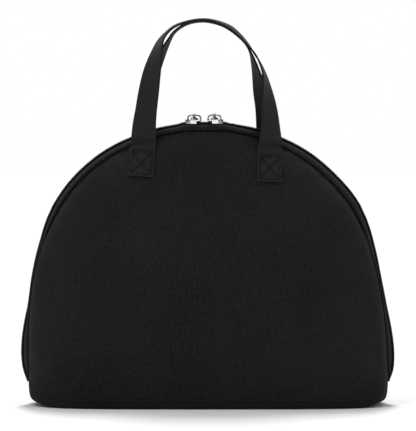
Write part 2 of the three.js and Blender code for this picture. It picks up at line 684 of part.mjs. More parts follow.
function crownOutline() {
  const outer = CROWN_LENGTH / 2;
  const inner = outer - CROWN_WALL * 1.3;
  const foot = -PLATE_WALL * 0.7;
  const shape = new THREE.Shape();
  shape.moveTo(outer, foot);
  crownArch(shape, outer, CROWN_HEIGHT, 1);
  shape.lineTo(-outer, foot);
  shape.lineTo(-inner, foot);
  crownArch(shape, inner, CROWN_HEIGHT - CROWN_WALL, -1);
  shape.lineTo(inner, foot);
  shape.closePath();
  return shape;
}

function sliderGeometry() {
  const shell = solidOf(
    plateOf(sliderOutline(0), PLATE_TOP + SLOT_HALF + PLATE_WALL)
      .translate(0, 0, (PLATE_TOP - SLOT_HALF - PLATE_WALL) / 2),
  );
  const box = (sx, sy, sz, x, z) => solidOf(new THREE.BoxGeometry(sx, sy, sz).translate(x, 0, z));
  const length = SLIDER_LENGTH * 2;
  const channel = box(length, SLIDER_TAIL_WIDTH - 2 * FLANGE_WALL, PLATE_SEAT + SLOT_HALF, 0,
    (PLATE_SEAT - SLOT_HALF) / 2);
  const slots = box(length, SLIDER_WIDTH * 2, 2 * SLOT_HALF, 0, 0);
  const mouth = box(2 * MOUTH_LENGTH, SLIDER_WIDTH * 2, PLATE_SEAT + SLOT_HALF, SLIDER_LENGTH / 2,
    (PLATE_SEAT - SLOT_HALF) / 2);
  const post = solidOf(plateOf(postOutline(), PLATE_SEAT + SLOT_HALF + PLATE_WALL)
    .translate(0, 0, (PLATE_SEAT - SLOT_HALF) / 2));
  const upright = new THREE.Matrix4().makeRotationX(Math.PI / 2).setPosition(CROWN_FORWARD, 0, PLATE_TOP);
  const crown = solidOf(plateOf(crownOutline(), CROWN_WIDTH, 8), upright);
  return geometryOf(shell.subtract(channel).subtract(slots).subtract(mouth).add(post).add(crown));
}

// The wedge that parts the two rows of teeth, near the nose.
function postOutline() {
  const nose = SLIDER_LENGTH / 2 - PLATE_WALL;
  const widest = nose - POST_LENGTH * POST_WIDEST;
  const shape = new THREE.Shape();
  shape.moveTo(nose, 0);
  shape.lineTo(widest, POST_WIDTH / 2);
  shape.lineTo(nose - POST_LENGTH, 0);
  shape.lineTo(widest, -POST_WIDTH / 2);
  shape.closePath();
  return shape;
}

// Pull, in its own frame: its curled eye is at the origin with its bore along x, and the flat tab
// runs along +y.
function pullGeometry() {
  const ring = new THREE.Shape();
  ring.absarc(0, 0, EYE_RADIUS + PULL_THICKNESS, 0, 2 * Math.PI, false);
  const bore = new THREE.Path();
  bore.absarc(0, 0, EYE_RADIUS, 0, 2 * Math.PI, true);
  ring.holes.push(bore);
  const sideways = new THREE.Matrix4().makeRotationY(Math.PI / 2);
  const neck = PULL_NECK / 2;
  const half = PULL_WIDTH / 2;
  const start = EYE_RADIUS + PULL_THICKNESS / 2;
  const shoulder = EYE_RADIUS + PULL_THICKNESS + SLIDER_WIDTH / 4;
  const tab = new THREE.Shape();
  tab.moveTo(-neck, start);
  tab.lineTo(neck, start);
  tab.lineTo(neck, shoulder);
  tab.quadraticCurveTo(half, shoulder, half, shoulder + half);
  tab.lineTo(half, PULL_LENGTH - half);
  tab.absarc(0, PULL_LENGTH - half, half, 0, Math.PI, false);
  tab.lineTo(-half, shoulder + half);
  tab.quadraticCurveTo(-half, shoulder, -neck, shoulder);
  tab.closePath();
  const eye = solidOf(plateOf(ring, PULL_NECK, 7), sideways);
  return geometryOf(eye.add(solidOf(plateOf(tab, PULL_THICKNESS))));
}

// Handles
function strapGeometry(table, folds, sign) {
  const halfSpread = FEET_SPREAD / 2;
  const lowest = HANDLE_TOP - STRAP_RISE;
  const onPanel = (x, z) => overPanel(x, z, folds, SEWN_GAP + STRAP_WALL / 2);
  const path = new THREE.CatmullRomCurve3(table.map((row) => {
    const x = HANDLE_OFFSET + row.across * halfSpread;
    const z = lowest + row.rise * STRAP_RISE;
    return vector(x, lerp(row.forward * STRAP_WIDTH, onPanel(x, z), row.sewn), z);
  }), false, 'centripetal');
  const turns = table.map((row, i) => ({ row: i, twist: row.twist }));
  const last = table.length - 1;
  const middle = Array.from({ length: STRAP_STEPS + 1 }, (_, i) => {
    const at = (i / STRAP_STEPS) * last;
    const row = Math.min(Math.floor(at), last - 1);
    const q = at - row;
    const sewn = lerp(table[row].sewn, table[row + 1].sewn, q);
    const share = at / last;
    const point = path.getPoint(share);
    const ahead = path.getPoint(Math.min(share + 1e-3, 1)).sub(path.getPoint(Math.max(share - 1e-3, 0)));
    const across = vector(ahead.z, 0, -ahead.x).normalize();
    const twist = radians(readTable(turns, 'row', 'twist', at));
    return [-0.5, 0, 0.5].map((side) => {
      const flat = side * STRAP_WIDTH * Math.cos(twist);
      const x = point.x + across.x * flat;
      const z = point.z + across.z * flat;
      const free = point.y + side * STRAP_WIDTH * Math.sin(twist);
      return vector(x, sign * lerp(free, onPanel(x, z), sewn), z);
    });
  });
  const normals = gridNormals(middle);
  return wallBetween(
    shifted(middle, normals, STRAP_WALL / 2),
    shifted(middle, normals, -STRAP_WALL / 2),
  );
}

// Materials
const cloth = new THREE.MeshStandardMaterial({ color: 0x1e1e1f, roughness: 0.85, metalness: 0 });
const tapeCloth = new THREE.MeshStandardMaterial({ color: 0x262627, roughness: 0.8, metalness: 0 });
const webbing = new THREE.MeshStandardMaterial({ color: 0x242425, roughness: 0.7, metalness: 0 });
const nylon = new THREE.MeshStandardMaterial({ color: 0x101011, roughness: 0.45, metalness: 0 });
const nickel = new THREE.MeshStandardMaterial({ color: 0xc9c7c2, roughness: 0.22, metalness: 1 });

const bag = new THREE.Group();

function addMesh(parent, name, geometry, material) {
  const mesh = new THREE.Mesh(geometry, material);
  mesh.name = name;
  parent.add(mesh);
  return mesh;
}

addMesh(bag, 'front_panel', panelGeometry(FRONT_FOLDS, -1), cloth);
addMesh(bag, 'back_panel', panelGeometry(BACK_FOLDS, 1), cloth);
addMesh(bag, 'bottom_gusset', gussetGeometry(), cloth);
addMesh(bag, 'zip_tape_front', tapeGeometry(-1), tapeCloth);
addMesh(bag, 'zip_tape_back', tapeGeometry(1), tapeCloth);
addMesh(bag, 'zip_coil_left', coilGeometry(-1), nylon);
addMesh(bag, 'zip_coil_right', coilGeometry(1), nylon);
addMesh(bag, 'handle_front', strapGeometry(FRONT_STRAP, FRONT_FOLDS, -1), webbing);
addMesh(bag, 'handle_back', strapGeometry(BACK_STRAP, BACK_FOLDS, 1), webbing);

// Sliders: each sits on the zip with its nose to the meeting point, and its pull hangs to the back.
for (const [name, side] of [['left', -1], ['right', 1]]) {
  const t = zipShareAt(MEET_OFFSET + side * (SLIDER_SPACE + SLIDER_LENGTH) / 2);
  const seat = new THREE.Group();
  seat.position.copy(bandPoint(t, -CREST_ABOVE_TAPE, 0, 1));
  const slider = addMesh(seat, `slider_${name}`, sliderGeometry(), nickel);
  slider.rotation.z = side < 0 ? 0 : Math.PI;
  const pull = addMesh(seat, `pull_${name}`, pullGeometry(), nickel);
  pull.position.set(-side * CROWN_FORWARD, 0, PLATE_TOP + PIVOT_ABOVE_PLATE);
  pull.rotation.x = -PULL_DROOP;
  bag.add(seat);
}

export default bag;
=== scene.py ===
import bisect
import math
from itertools import accumulate

import bmesh
import bpy
from mathutils import Matrix, Vector, kdtree, noise
from mathutils.bvhtree import BVHTree


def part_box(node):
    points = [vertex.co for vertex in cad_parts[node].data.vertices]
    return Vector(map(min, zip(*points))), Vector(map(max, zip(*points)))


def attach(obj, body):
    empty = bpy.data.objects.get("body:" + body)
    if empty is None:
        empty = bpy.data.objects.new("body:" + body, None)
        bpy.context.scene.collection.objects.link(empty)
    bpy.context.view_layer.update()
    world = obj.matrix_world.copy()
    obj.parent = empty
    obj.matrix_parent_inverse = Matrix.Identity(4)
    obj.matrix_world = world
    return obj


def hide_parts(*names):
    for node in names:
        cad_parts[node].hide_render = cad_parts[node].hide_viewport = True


# The looks of a soft half-round toiletry bag in black cloth: taut panels, a coil zip with two sliders over
# the arch, webbing handles sewn on with boxed crosses, and bright nickel metal.
# Metres, +Z up, the front faces -Y.
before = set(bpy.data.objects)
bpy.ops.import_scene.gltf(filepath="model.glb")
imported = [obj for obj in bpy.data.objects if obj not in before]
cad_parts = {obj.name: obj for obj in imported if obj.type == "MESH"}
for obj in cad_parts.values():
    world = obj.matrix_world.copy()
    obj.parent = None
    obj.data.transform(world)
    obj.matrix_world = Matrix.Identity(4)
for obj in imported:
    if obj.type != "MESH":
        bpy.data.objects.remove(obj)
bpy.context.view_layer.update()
scene = bpy.context.scene

# Camera, at the photograph's angle
CAMERA_DISTANCE = 3.0
CAMERA_ELEVATION = math.radians(2)
CAMERA_TARGET = Vector((0.00025, 0, 0.1575))
CAMERA_LENS = 311.7

# Body, as the solids have it
SIDES = (("front", -1), ("back", 1))
HALF_WIDTH = 0.156
BAG_HEIGHT = 0.234
RIM_HEIGHT = 0.007
HALF_BAND = 0.010

# Handles, as the solids have them
STRAP_WIDTH = 0.020
STRAP_WALL = 0.0015
SELVAGE = 0.00042            # rounding of the webbing's edges
FEET_SPREAD = 0.108
STRAP_RISE = 0.134
HANDLE_TOP = 0.3204
HANDLE_OFFSET = -0.0025
SEWN_GAP = 0.00065

# Sewing
STITCH_PITCH = 0.0031
THREAD = 0.00042
THREAD_SUNK = 0.00025        # into the webbing
SEWN_STEP = 0.0008           # between the places a sewn line goes through
TAPE_STITCH = 0.78           # shares of the pitch that show above the cloth
HANDLE_STITCH = 0.6
TAPE_STITCH_INSET = 0.0019   # from the band's edge to its stitches
BOX_INSET = 0.0018
BOX_START = 0.0016
BOX_HEIGHT = 0.0224
SECOND_ROW = 0.0021
FOOT_MARGIN = 0.006          # the webbing eases out of its quilting over this length past the box
SEWN_DEPTH = 0.0003          # of the quilting, of a sewn line and of each stitch's own hollow
FOOT_LIP = 0.0007            # rise of the turned-under end

# Zip
TOOTH_PITCH = 0.0021
TOOTH_WIRE = 0.00088
TOOTH_RADIUS = TOOTH_WIRE * 0.46
COIL_WIDTH = 0.0066
MEET_X = -0.0028
SLIDER_SPACE = 0.0042
WINDOW_PLACE = 0.0025        # from the slider's tail to the window in its side
WINDOW_DEPTH = 0.0046
WINDOW_RISE = 0.2355
WINDOW_LENGTH = 0.0017
WINDOW_HEIGHT = 0.0013
WINDOW_FRAME = 0.00012
WINDOW_SUNK = 0.0005
# The sliders' lighter block by the nose is a painted highlight, a reflection painted into the nickel's
# colour.
PAINTED_HIGHLIGHT_REACH = 0.0116        # from the meeting point to where the sliders' painted highlight ends
PAINTED_HIGHLIGHT_TOP = 0.2372
EDGE_SHARPNESS = 1500        # the painted highlight fades over a metre divided by this
CAST_EDGE = 0.00022          # rounding of the metal's edges
SLIT_GROWTH = 0.0022         # each row of teeth moves out by this much between the sliders
OPEN_REACH = 0.0106          # from the meeting point to where the teeth are closed
COIL_REACH = 0.0129          # from the meeting point to where the solids' coils end
RAIL_MIDDLE = 0.09           # height inside the arch that every part of the zip is seen from
RAIL_STEPS = 1600
SEAM_STEPS = 260
TAPE_STEPS = 900
ALLOWANCE_PLACE = 0.0082     # from the middle of the zip to the turned-in cloth
ALLOWANCE_TOP = 0.0013       # under the tape's outer face
ALLOWANCE_DEPTH = 0.0065
ALLOWANCE_HALF = 0.0004
FOLD_DEEP = 0.155            # above this height the seam beside the tape is open
FOLD_FULL = 0.130            # and below this one its folded edge fills it
FOLD_DROP_DEEP = 0.0039
FOLD_DROP_FULL = 0.0011
FOLD_RADIUS = 0.0012
FOLD_PLACE = 0.0006          # from the edge of the tape's band
RIM_RADIUS = 0.0007          # of the cord of cloth in the seam between panel and gusset
RIM_TOUCH = 0.00065          # a panel's corners this near to the gusset are on that seam
SEAM_DROP = 0.0007           # how far the panel's edge is pulled in where the seam is open
SEAM_EDGE = 0.007            # the pull is full this near to the zip's crest
SEAM_REACH = 0.0125          # and is felt up to here

# Weaves: width of a thread, rib or cord, and length of a crossing
CLOTH_THREAD = 0.00062
TAPE_RIB = 0.00105
TAPE_PICK = 0.0006
WEBBING_CORD = 0.00125
WEBBING_PICK = 0.00085

# Darkest and lightest colour of each finish
COLOURS = {
    "cotton": ((0.0050, 0.0050, 0.0051), (0.0230, 0.0230, 0.0232)),
    "tape": ((0.0022, 0.0022, 0.0023), (0.0110, 0.0110, 0.0112)),
    "webbing": ((0.0066, 0.0066, 0.0068), (0.0250, 0.0250, 0.0254)),
    "handle thread": ((0.0028, 0.0028, 0.0028), (0.0080, 0.0080, 0.0080)),
    "tape thread": ((0.0070, 0.0070, 0.0070), (0.0180, 0.0180, 0.0180)),
    "nylon": ((0.0045, 0.0045, 0.0048), (0.0095, 0.0095, 0.0100)),
    "nickel": ((0.16, 0.16, 0.155), (0.90, 0.89, 0.86)),
    "floor": ((0.80, 0.80, 0.80), (0.83, 0.83, 0.83)),
}

# Studio: place, aim, size and power of each softbox
ROOM_LIGHT = 0.53
SOFTBOXES = {
    "softbox_back": ((0, 5.6, 10.6), (0, 0, 0), (2.2, 5.8), 1150),
    "softbox_left": ((-1.2, -1.3, 2.9), (0, 0, 0.15), (0.7, 1.4), 25),
    "softbox_right": ((1.2, -1.3, 2.9), (0, 0, 0.15), (0.7, 1.4), 8),
}
# The room as metal reflects it: heights from straight down, 0, to straight up, 1, and brightness
REFLECTED_ROOM = (
    (0, 0), (0.02, 0.30), (0.42, 0.10), (0.47, 1.30), (0.53, 1.30),
    (0.58, 0.12), (0.72, 0.20), (0.90, 1.30), (1, 1),
)

# Sockets of a Mix node that is set to colours
MIX_DARK, MIX_LIGHT, MIX_RESULT = 6, 7, 2


# Shaders

class Term:
    """A value in a node tree that plain arithmetic can be written with."""

    def __init__(self, nodes, socket):
        self.nodes = nodes
        self.socket = socket

    def _with(self, operation, *values):
        return self.nodes.add("ShaderNodeMath", {"operation": operation}, dict(enumerate(values)))

    def __add__(self, other):
        return self._with("ADD", self, other)

    def __radd__(self, other):
        return self._with("ADD", other, self)

    def __sub__(self, other):
        return self._with("SUBTRACT", self, other)

    def __rsub__(self, other):
        return self._with("SUBTRACT", other, self)

    def __mul__(self, other):
        return self._with("MULTIPLY", self, other)

    def __rmul__(self, other):
        return self._with("MULTIPLY", other, self)

    def sine(self):
        return self._with("SINE", self)

    def size(self):
        return self._with("ABSOLUTE", self)

    def clipped(self):
        return self.nodes.add("ShaderNodeClamp", {}, {"Value": self})


class Nodes:
    """The node tree of a material or of the world, built from terms."""

    def __init__(self, owner):
        owner.use_nodes = True
        self.tree = owner.node_tree

    def add(self, kind, settings, inputs, output=0):
        """A node of a kind. A ramp's stops are its (place, brightness) pairs, from 0 to 1."""
        node = self.tree.nodes.new(kind)
        for name, value in settings.items():
            if name == "stops":
                marks = node.color_ramp.elements
                for place, _ in value[1:-1]:
                    marks.new(place)
                for mark, (_, grey) in zip(marks, value):
                    mark.color = (grey, grey, grey, 1)
            else:
                setattr(node, name, value)
        for name, value in inputs.items():
            if isinstance(value, Term):
                self.tree.links.new(value.socket, node.inputs[name])
            else:
                node.inputs[name].default_value = value
        return Term(self, node.outputs[output])

    def parts(self, vector):
        return [self.add("ShaderNodeSeparateXYZ", {}, {"Vector": vector}, axis) for axis in range(3)]


class Finish(Nodes):
    """A material on the Principled shader."""

    def __init__(self, name, **constants):
        self.data = bpy.data.materials.new(name)
        super().__init__(self.data)
        self.shader = self.tree.nodes["Principled BSDF"]
        for socket, value in constants.items():
            self.shader.inputs[socket.replace("_", " ")].default_value = value

    def feed(self, socket, term):
        self.tree.links.new(term.socket, self.shader.inputs[socket])

    def place(self):
        """Object coordinates in metres."""
        return self.add("ShaderNodeTexCoord", {}, {}, "Object")

    def cloth_place(self):
        """The piece's own cloth map, in metres along and across its threads."""
        return self.add("ShaderNodeUVMap", {"uv_map": "cloth"}, {})

    def stretched(self, vector, scale):
        return self.add("ShaderNodeVectorMath", {"operation": "MULTIPLY"}, {0: vector, 1: scale})

    def noise(self, vector, scale, detail=2.0):
        return self.add("ShaderNodeTexNoise", {}, {"Vector": vector, "Scale": scale, "Detail": detail}, "Fac")

    def coloured(self, share, name):
        """Colours the finish between its darkest, at a share of 0, and its lightest, at 1."""
        dark, light = COLOURS[name]
        ends = {0: share.clipped(), MIX_DARK: (*dark, 1), MIX_LIGHT: (*light, 1)}
        self.feed("Base Color", self.add("ShaderNodeMix", {"data_type": "RGBA"}, ends, MIX_RESULT))

    def bumped(self, height, strength, distance):
        values = {"Strength": strength, "Distance": distance, "Height": height}
        self.feed("Normal", self.add("ShaderNodeBump", {}, values, "Normal"))


def ribs(across, width):
    """A wave over threads that lie side by side, which is 0 between one and the next."""
    return (across * (math.pi / width)).sine()


def woven_cloth():
    """Plain-weave cotton, slightly heathered, with faint slubs along both threads."""
    finish = Finish("woven black cotton", Roughness=0.95, Sheen_Weight=0.02, Specular_IOR_Level=0.05)
    uv = finish.cloth_place()
    along, across, _ = finish.parts(uv)
    warp, weft = ribs(along, CLOTH_THREAD), ribs(across, CLOTH_THREAD)
    over = warp * weft
    weave = warp.size() * (0.5 + over * 0.5) + weft.size() * (0.5 - over * 0.5)
    grain = finish.noise(uv, 900)
    slub_up = finish.noise(finish.stretched(uv, (1300, 70, 1)), 1.0, 1.0)
    slub_side = finish.noise(finish.stretched(uv, (70, 1300, 1)), 1.0, 1.0)
    cloud = finish.noise(finish.place(), 14, 3.0)
    fleck = finish.noise(uv, 420, 3.0)
    share = 0.45 + (grain - 0.5) * 0.9 + (slub_up + slub_side - 1.0) * 0.45
    finish.coloured(share + (fleck - 0.5) * 0.9 + (cloud - 0.5) * 0.5, "cotton")
    finish.bumped(weave * 0.7 + slub_up * 0.3 + slub_side * 0.3 + grain * 0.25, 0.45, 0.00022)
    return finish.data


def woven_tape():
    """The zip's tape: fine ribs along it, crossed by the picks."""
    finish = Finish("woven zip tape", Roughness=0.9, Sheen_Weight=0.05, Specular_IOR_Level=0.1)
    uv = finish.cloth_place()
    along, across, _ = finish.parts(uv)
    cords = ribs(across, TAPE_RIB).size()
    picks = ribs(along, TAPE_PICK).size()
    grain = finish.noise(uv, 1100, 1.0)
    finish.coloured(cords * 0.35 + picks * 0.2 + grain * 0.5 - 0.1, "tape")
    finish.bumped(cords * 0.7 + picks * 0.4, 0.5, 0.0002)
    return finish.data


def ribbed_webbing():
    """Flat cotton webbing: cords along it with a woven rib across."""
    finish = Finish("ribbed cotton webbing", Roughness=0.9, Sheen_Weight=0.06, Specular_IOR_Level=0.1)
    uv = finish.cloth_place()
    along, across, _ = finish.parts(uv)
    cords = ribs(across, WEBBING_CORD)
    picks = ribs(along + cords * 0.00022, WEBBING_PICK).size()
    grain = finish.noise(uv, 1000)
    cloud = finish.noise(finish.stretched(uv, (60, 400, 1)), 1.0)
    # Painted shade: the webbing's colour is darker in the stitches' hollows and along the sewn lines, where
    # shade would fall.
    pressed = finish.add("ShaderNodeAttribute", {"attribute_name": "pressed"}, {}, "Fac")
    share = picks * 0.25 + cords.size() * 0.25 + grain * 0.5 + cloud * 0.35 - 0.3 - pressed * 0.75
    finish.coloured(share, "webbing")
    finish.bumped(picks * 0.6 + cords.size() * 0.6 + grain * 0.2, 0.5, 0.00022)
    return finish.data


def sewing_thread(name):
    finish = Finish("black " + name, Roughness=0.7, Sheen_Weight=0.05, Specular_IOR_Level=0.2)
    finish.coloured(finish.noise(finish.place(), 2500, 1.0), name)
    return finish.data


def nylon_coil():
    finish = Finish("black nylon", Specular_IOR_Level=0.22)
    place = finish.place()
    cloud = finish.noise(place, 260)
    finish.coloured(cloud, "nylon")
    finish.feed("Roughness", 0.42 + cloud * 0.25)
    return finish.data


def bright_nickel():
    """Nickel-plated die casting with a random film, and a painted highlight: the block by the nose, below the
    arch, is coloured lighter, so arch and tail are darker.
    """
    finish = Finish("bright nickel", Metallic=1.0)
    place = finish.place()
    film = finish.noise(place, 520)
    marks = finish.noise(finish.stretched(place, (300, 2600, 2600)), 1.0)
    along, _, up = finish.parts(place)
    near_nose = ((PAINTED_HIGHLIGHT_REACH - (along - MEET_X).size()) * EDGE_SHARPNESS + 0.5).clipped()
    below_arch = ((PAINTED_HIGHLIGHT_TOP - up) * EDGE_SHARPNESS + 0.5).clipped()
    # Painted highlight: lighter colour on the block by the nose and below the arch.
    finish.coloured(0.14 + (film - 0.5) * 1.3 + near_nose * below_arch * 0.85, "nickel")
    finish.feed("Roughness", 0.10 + film * 0.16 + marks * 0.06)
    finish.bumped(marks, 0.06, 0.0001)
    return finish.data


# Meshes

def new_object(name, bm, finish):
    mesh = bpy.data.meshes.new(name)
    bm.to_mesh(mesh)
    bm.free()
    mesh.polygons.foreach_set("use_smooth", [True] * len(mesh.polygons))
    mesh.materials.append(finish)
    obj = bpy.data.objects.new(name, mesh)
    scene.collection.objects.link(obj)
    return obj


def merged_copy(node, join=True):
    """A CAD node's mesh with its triangles joined up, and back to quads where join is set."""
    bm = bmesh.new()
    bm.from_mesh(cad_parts[node].data)
    bmesh.ops.remove_doubles(bm, verts=bm.verts, dist=2e-6)
    if join:
        bmesh.ops.join_triangles(
            bm, faces=bm.faces, angle_face_threshold=math.radians(60), angle_shape_threshold=math.radians(60)
        )
    return bm


def creased(bm, angle):
    """Keeps the edges sharper than an angle as they are when the mesh is smoothed."""
    layer = bm.edges.layers.float.new("crease_edge")
    for edge in bm.edges:
        if edge.is_manifold and edge.calc_face_angle() > angle:
            edge[layer] = 1.0
    return bm


def round_edges(obj, name, width, segments, degrees):
    """Adds a rounding of the edges that are sharper than an angle."""
    bevel = obj.modifiers.new(name, "BEVEL")
    bevel.width = width
    bevel.segments = segments
    bevel.limit_method = "ANGLE"
    bevel.angle_limit = math.radians(degrees)
    return bevel


def smoothed(name, bm, levels, rounding=0.0):
    """The mesh after subdivision and a small rounding of its edges, as a new bmesh."""
    mesh = bpy.data.meshes.new(name)
    bm.to_mesh(mesh)
    bm.free()
    obj = bpy.data.objects.new(name, mesh)
    scene.collection.objects.link(obj)
    smooth = obj.modifiers.new("smooth", "SUBSURF")
    smooth.levels = levels
    smooth.render_levels = levels
    if rounding:
        round_edges(obj, "rounding", rounding, 2, 50)
    bpy.context.view_layer.update()
    fine = bmesh.new()
    fine.from_object(obj, bpy.context.evaluated_depsgraph_get())
    bpy.data.objects.remove(obj)
    bpy.data.meshes.remove(mesh)
    return fine


def finish_piece(obj, body, slot, *nodes):
    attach(obj, body)
    if nodes:
        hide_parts(*nodes)


def table(columns, rows):
    """Rows of numbers under named columns."""
    return [dict(zip(columns.split(), row)) for row in rows]


def curve_point(points, share):
    """A point of the smooth curve through the points, at a share from 0 to 1."""
    last = len(points) - 1
    place = min(max(share, 0.0), 1.0) * last
    row = min(int(place), last - 1)
    q = place - row
    here, after = points[row], points[row + 1]
    before = points[row - 1] if row else 2 * here - after
    later = points[row + 2] if row + 2 <= last else 2 * after - here
    pairs = ((before, here), (here, after), (after, later))
    d0, d1, d2 = (max((b - a).length, 1e-8) ** 0.5 for a, b in pairs)
    leave = ((here - before) / d0 - (after - before) / (d0 + d1) + (after - here) / d1) * d1
    reach = ((after - here) / d1 - (later - here) / (d1 + d2) + (later - after) / d2) * d1
    step = after - here
    return here + leave * q + (3 * step - 2 * leave - reach) * q * q + (leave + reach - 2 * step) * q ** 3


def running_lengths(points):
    """The length along a line at each of its points."""
    return list(accumulate(((b - a).length for a, b in zip(points, points[1:])), initial=0.0))


def share_at_length(lengths, length):
    """The share of a line's points that lie before a length along it."""
    low = min(max(bisect.bisect_right(lengths, length) - 1, 0), len(lengths) - 2)
    q = (length - lengths[low]) / (lengths[low + 1] - lengths[low])
    return (low + min(max(q, 0.0), 1.0)) / (len(lengths) - 1)


def smoothstep(low, high, value):
    """0 at low and 1 at high, which may also be the smaller of the two."""
    q = min(max((value - low) / (high - low), 0.0), 1.0)
    return q * q * (3 - 2 * q)


def lerp(a, b, q):
    return a + (b - a) * q


def hump(value, middle, spread):
    """A bell curve: 1 at its middle, and nearly 0 two spreads away."""
    return math.exp(-((value - middle) / spread) ** 2)


# Zip line, from the crest of the two coils

class Rail:
    """The zip's crest from its left end over the arch to its right end, by its length."""

    def __init__(self, nodes):
        found = {}
        for node in nodes:
            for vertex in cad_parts[node].data.vertices:
                if abs(vertex.co.y) < 1e-6:
                    found[(round(vertex.co.x, 6), round(vertex.co.z, 6))] = vertex.co.copy()
        turn = 2 * math.pi
        self.points = sorted(found.values(), key=lambda p: math.atan2(-p.x, RAIL_MIDDLE - p.z) % turn)
        self.lengths = running_lengths(self.points)
        self.total = self.lengths[-1]
        self.step = self.total / RAIL_STEPS
        self.tree = kdtree.KDTree(RAIL_STEPS + 1)
        for i in range(RAIL_STEPS + 1):
            place, _ = self.at(self.total * i / RAIL_STEPS)
            self.tree.insert(Vector((place.x, 0, place.z)), i)
        self.tree.balance()

    def _raw(self, length):
        return curve_point(self.points, share_at_length(self.lengths, length))

    def at(self, length):
        """Place and outward direction at a length along the crest."""
        place = self._raw(length)
        ahead = self._raw(min(length + 5e-4, self.total)) - self._raw(max(length - 5e-4, 0.0))
        return place, Vector((-ahead.z, 0, ahead.x)).normalized()

    def station(self, length):
        """A matrix at a length along the crest: x along, y across, z out."""
        place, out = self.at(length)
        return frame_at(place, Vector((out.z, 0, -out.x)), out)

    def nearest(self, point):
        """Length along the crest, and distance from it in the XZ plane."""
        _, index, gap = self.tree.find(Vector((point.x, 0, point.z)))
        return index * self.step, gap


rail = Rail(("zip_coil_left", "zip_coil_right"))


# Panels

# Small dents and swells beyond the solids' own. Places and reaches are shares of half the width and of
# the height, lean is in degrees from upright, and rise is in millimetres.
FRONT_DENTS = table("across up wide tall lean rise", [
    (0.27, 0.905, 0.06, 0.045, -20, -1.0),
    (0.55, 0.790, 0.05, 0.05, 30, -0.9),
    (-0.60, 0.800, 0.07, 0.05, -35, -0.8),
    (-0.30, 0.70, 0.10, 0.20, 8, 0.7),
    (0.42, 0.52, 0.07, 0.22, -12, -0.8),
    (0.00, 0.45, 0.18, 0.20, 20, -0.9),
    (0.70, 0.42, 0.06, 0.18, -6, 0.9),
    (-0.72, 0.50, 0.05, 0.20, 8, 0.8),
    (-0.42, 0.30, 0.07, 0.16, -25, -0.9),
    (0.16, 0.20, 0.10, 0.10, 60, 0.8),
    (0.74, 0.73, 0.03, 0.07, 42, -1.6),
    (0.90, 0.17, 0.04, 0.08, 12, -1.1),
    (-0.86, 0.16, 0.04, 0.08, -14, -1.0),
    (-0.85, 0.16, 0.10, 0.055, 0, 1.8),
    (0.62, 0.15, 0.16, 0.055, 0, 1.4),
    (-0.74, 0.09, 0.04, 0.05, 40, -0.9),
    (0.74, 0.08, 0.05, 0.04, -50, -0.8),
])
BACK_DENTS = table("across up wide tall lean rise", [
    (-0.30, 0.880, 0.07, 0.05, 20, -0.9),
    (0.62, 0.760, 0.06, 0.06, 30, -0.8),
    (0.30, 0.62, 0.10, 0.22, -10, 0.8),
    (-0.05, 0.42, 0.16, 0.18, -18, -1.0),
    (-0.62, 0.45, 0.06, 0.20, 8, 0.9),
    (0.66, 0.30, 0.08, 0.14, -28, -0.9),
    (-0.88, 0.15, 0.04, 0.08, -10, -1.0),
    (0.84, 0.10, 0.05, 0.06, 35, -0.9),
])
PUCKER_LENGTH = 0.021      # along the zip's seam
PUCKER_DEPTH = 0.00055
HEM_LENGTH = 0.027         # along the rim's seam
HEM_DEPTH = 0.0004
CREASE_LENGTH = 0.0052     # across the creases of the lower corners
CREASE_DEPTH = 0.0006
PANEL_EDGE = 0.0005        # rounding of the cloth's edges
GUSSET_EDGE = 0.0004
RIPPLE_LENGTH = 0.0046     # along the wall of the gusset
RIPPLE_DEPTH = 0.00022
CORNER_RISE = (0.0020, 0.0019)      # of the left and the right lower corner
CORNER_PLACE = 0.1435               # from the middle of the bag
CORNER_SPREAD = 0.008
# Unevenness of the cloth: waves a metre, rise in metres, and what is added to the panel's seed
UNEVENNESS = table("waves rise seed", [
    (17, 0.0009, 0),
    (42, 0.00045, 7),
    (130, 0.00011, 13),
])


def dent_at(dents, x, z):
    total = 0.0
    for dent in dents:
        dx = x / HALF_WIDTH - dent["across"]
        dz = z / BAG_HEIGHT - dent["up"]
        lean = math.radians(dent["lean"])
        across = (dx * math.cos(lean) + dz * math.sin(lean)) / dent["wide"]
        along = (dz * math.cos(lean) - dx * math.sin(lean)) / dent["tall"]
        total += dent["rise"] * math.exp(-across * across - along * along)
    return total / 1000


def cloth_rise(dents, seed, x, z):
    """How far the dressed panel stands over the solid one at a place."""
    length, from_zip = rail.nearest(Vector((x, 0, z)))
    from_rim = max(z - RIM_HEIGHT, 0.0)
    free = smoothstep(0.006, 0.022, from_zip) * smoothstep(0.0, 0.012, from_rim)
    uneven = 0.0
    for row in UNEVENNESS:
        place = Vector((x * row["waves"], z * row["waves"], seed + row["seed"]))
        uneven += noise.noise(place) * row["rise"]
    wave = math.sin(2 * math.pi * length / PUCKER_LENGTH + 2.2 * noise.noise(Vector((length * 23, seed, 0))))
    near_zip = hump(from_zip, 0.010, 0.009) * smoothstep(0.004, 0.009, from_zip)
    hem_wave = math.sin(2 * math.pi * x / HEM_LENGTH + 3 * noise.noise(Vector((x * 20, 3, seed))))
    near_rim = hump(from_rim, 0.008, 0.008) * smoothstep(0.0, 0.004, from_rim)
    crease_wave = math.sin((abs(x) * 0.8 + z) * 2 * math.pi / CREASE_LENGTH)
    corner = smoothstep(0.105, 0.135, abs(x)) * hump(from_rim, 0.004, 0.008)
    sewn = PUCKER_DEPTH * wave * near_zip + HEM_DEPTH * hem_wave * near_rim
    return (dent_at(dents, x, z) + uneven) * free + sewn + CREASE_DEPTH * crease_wave * corner


def cloth_map(bm, u_of, v_of):
    """The cloth map of a piece, from a place's two lengths."""
    layer = bm.loops.layers.uv.new("cloth")
    for face in bm.faces:
        for loop in face.loops:
            loop[layer].uv = (u_of(loop.vert.co, face.normal), v_of(loop.vert.co, face.normal))


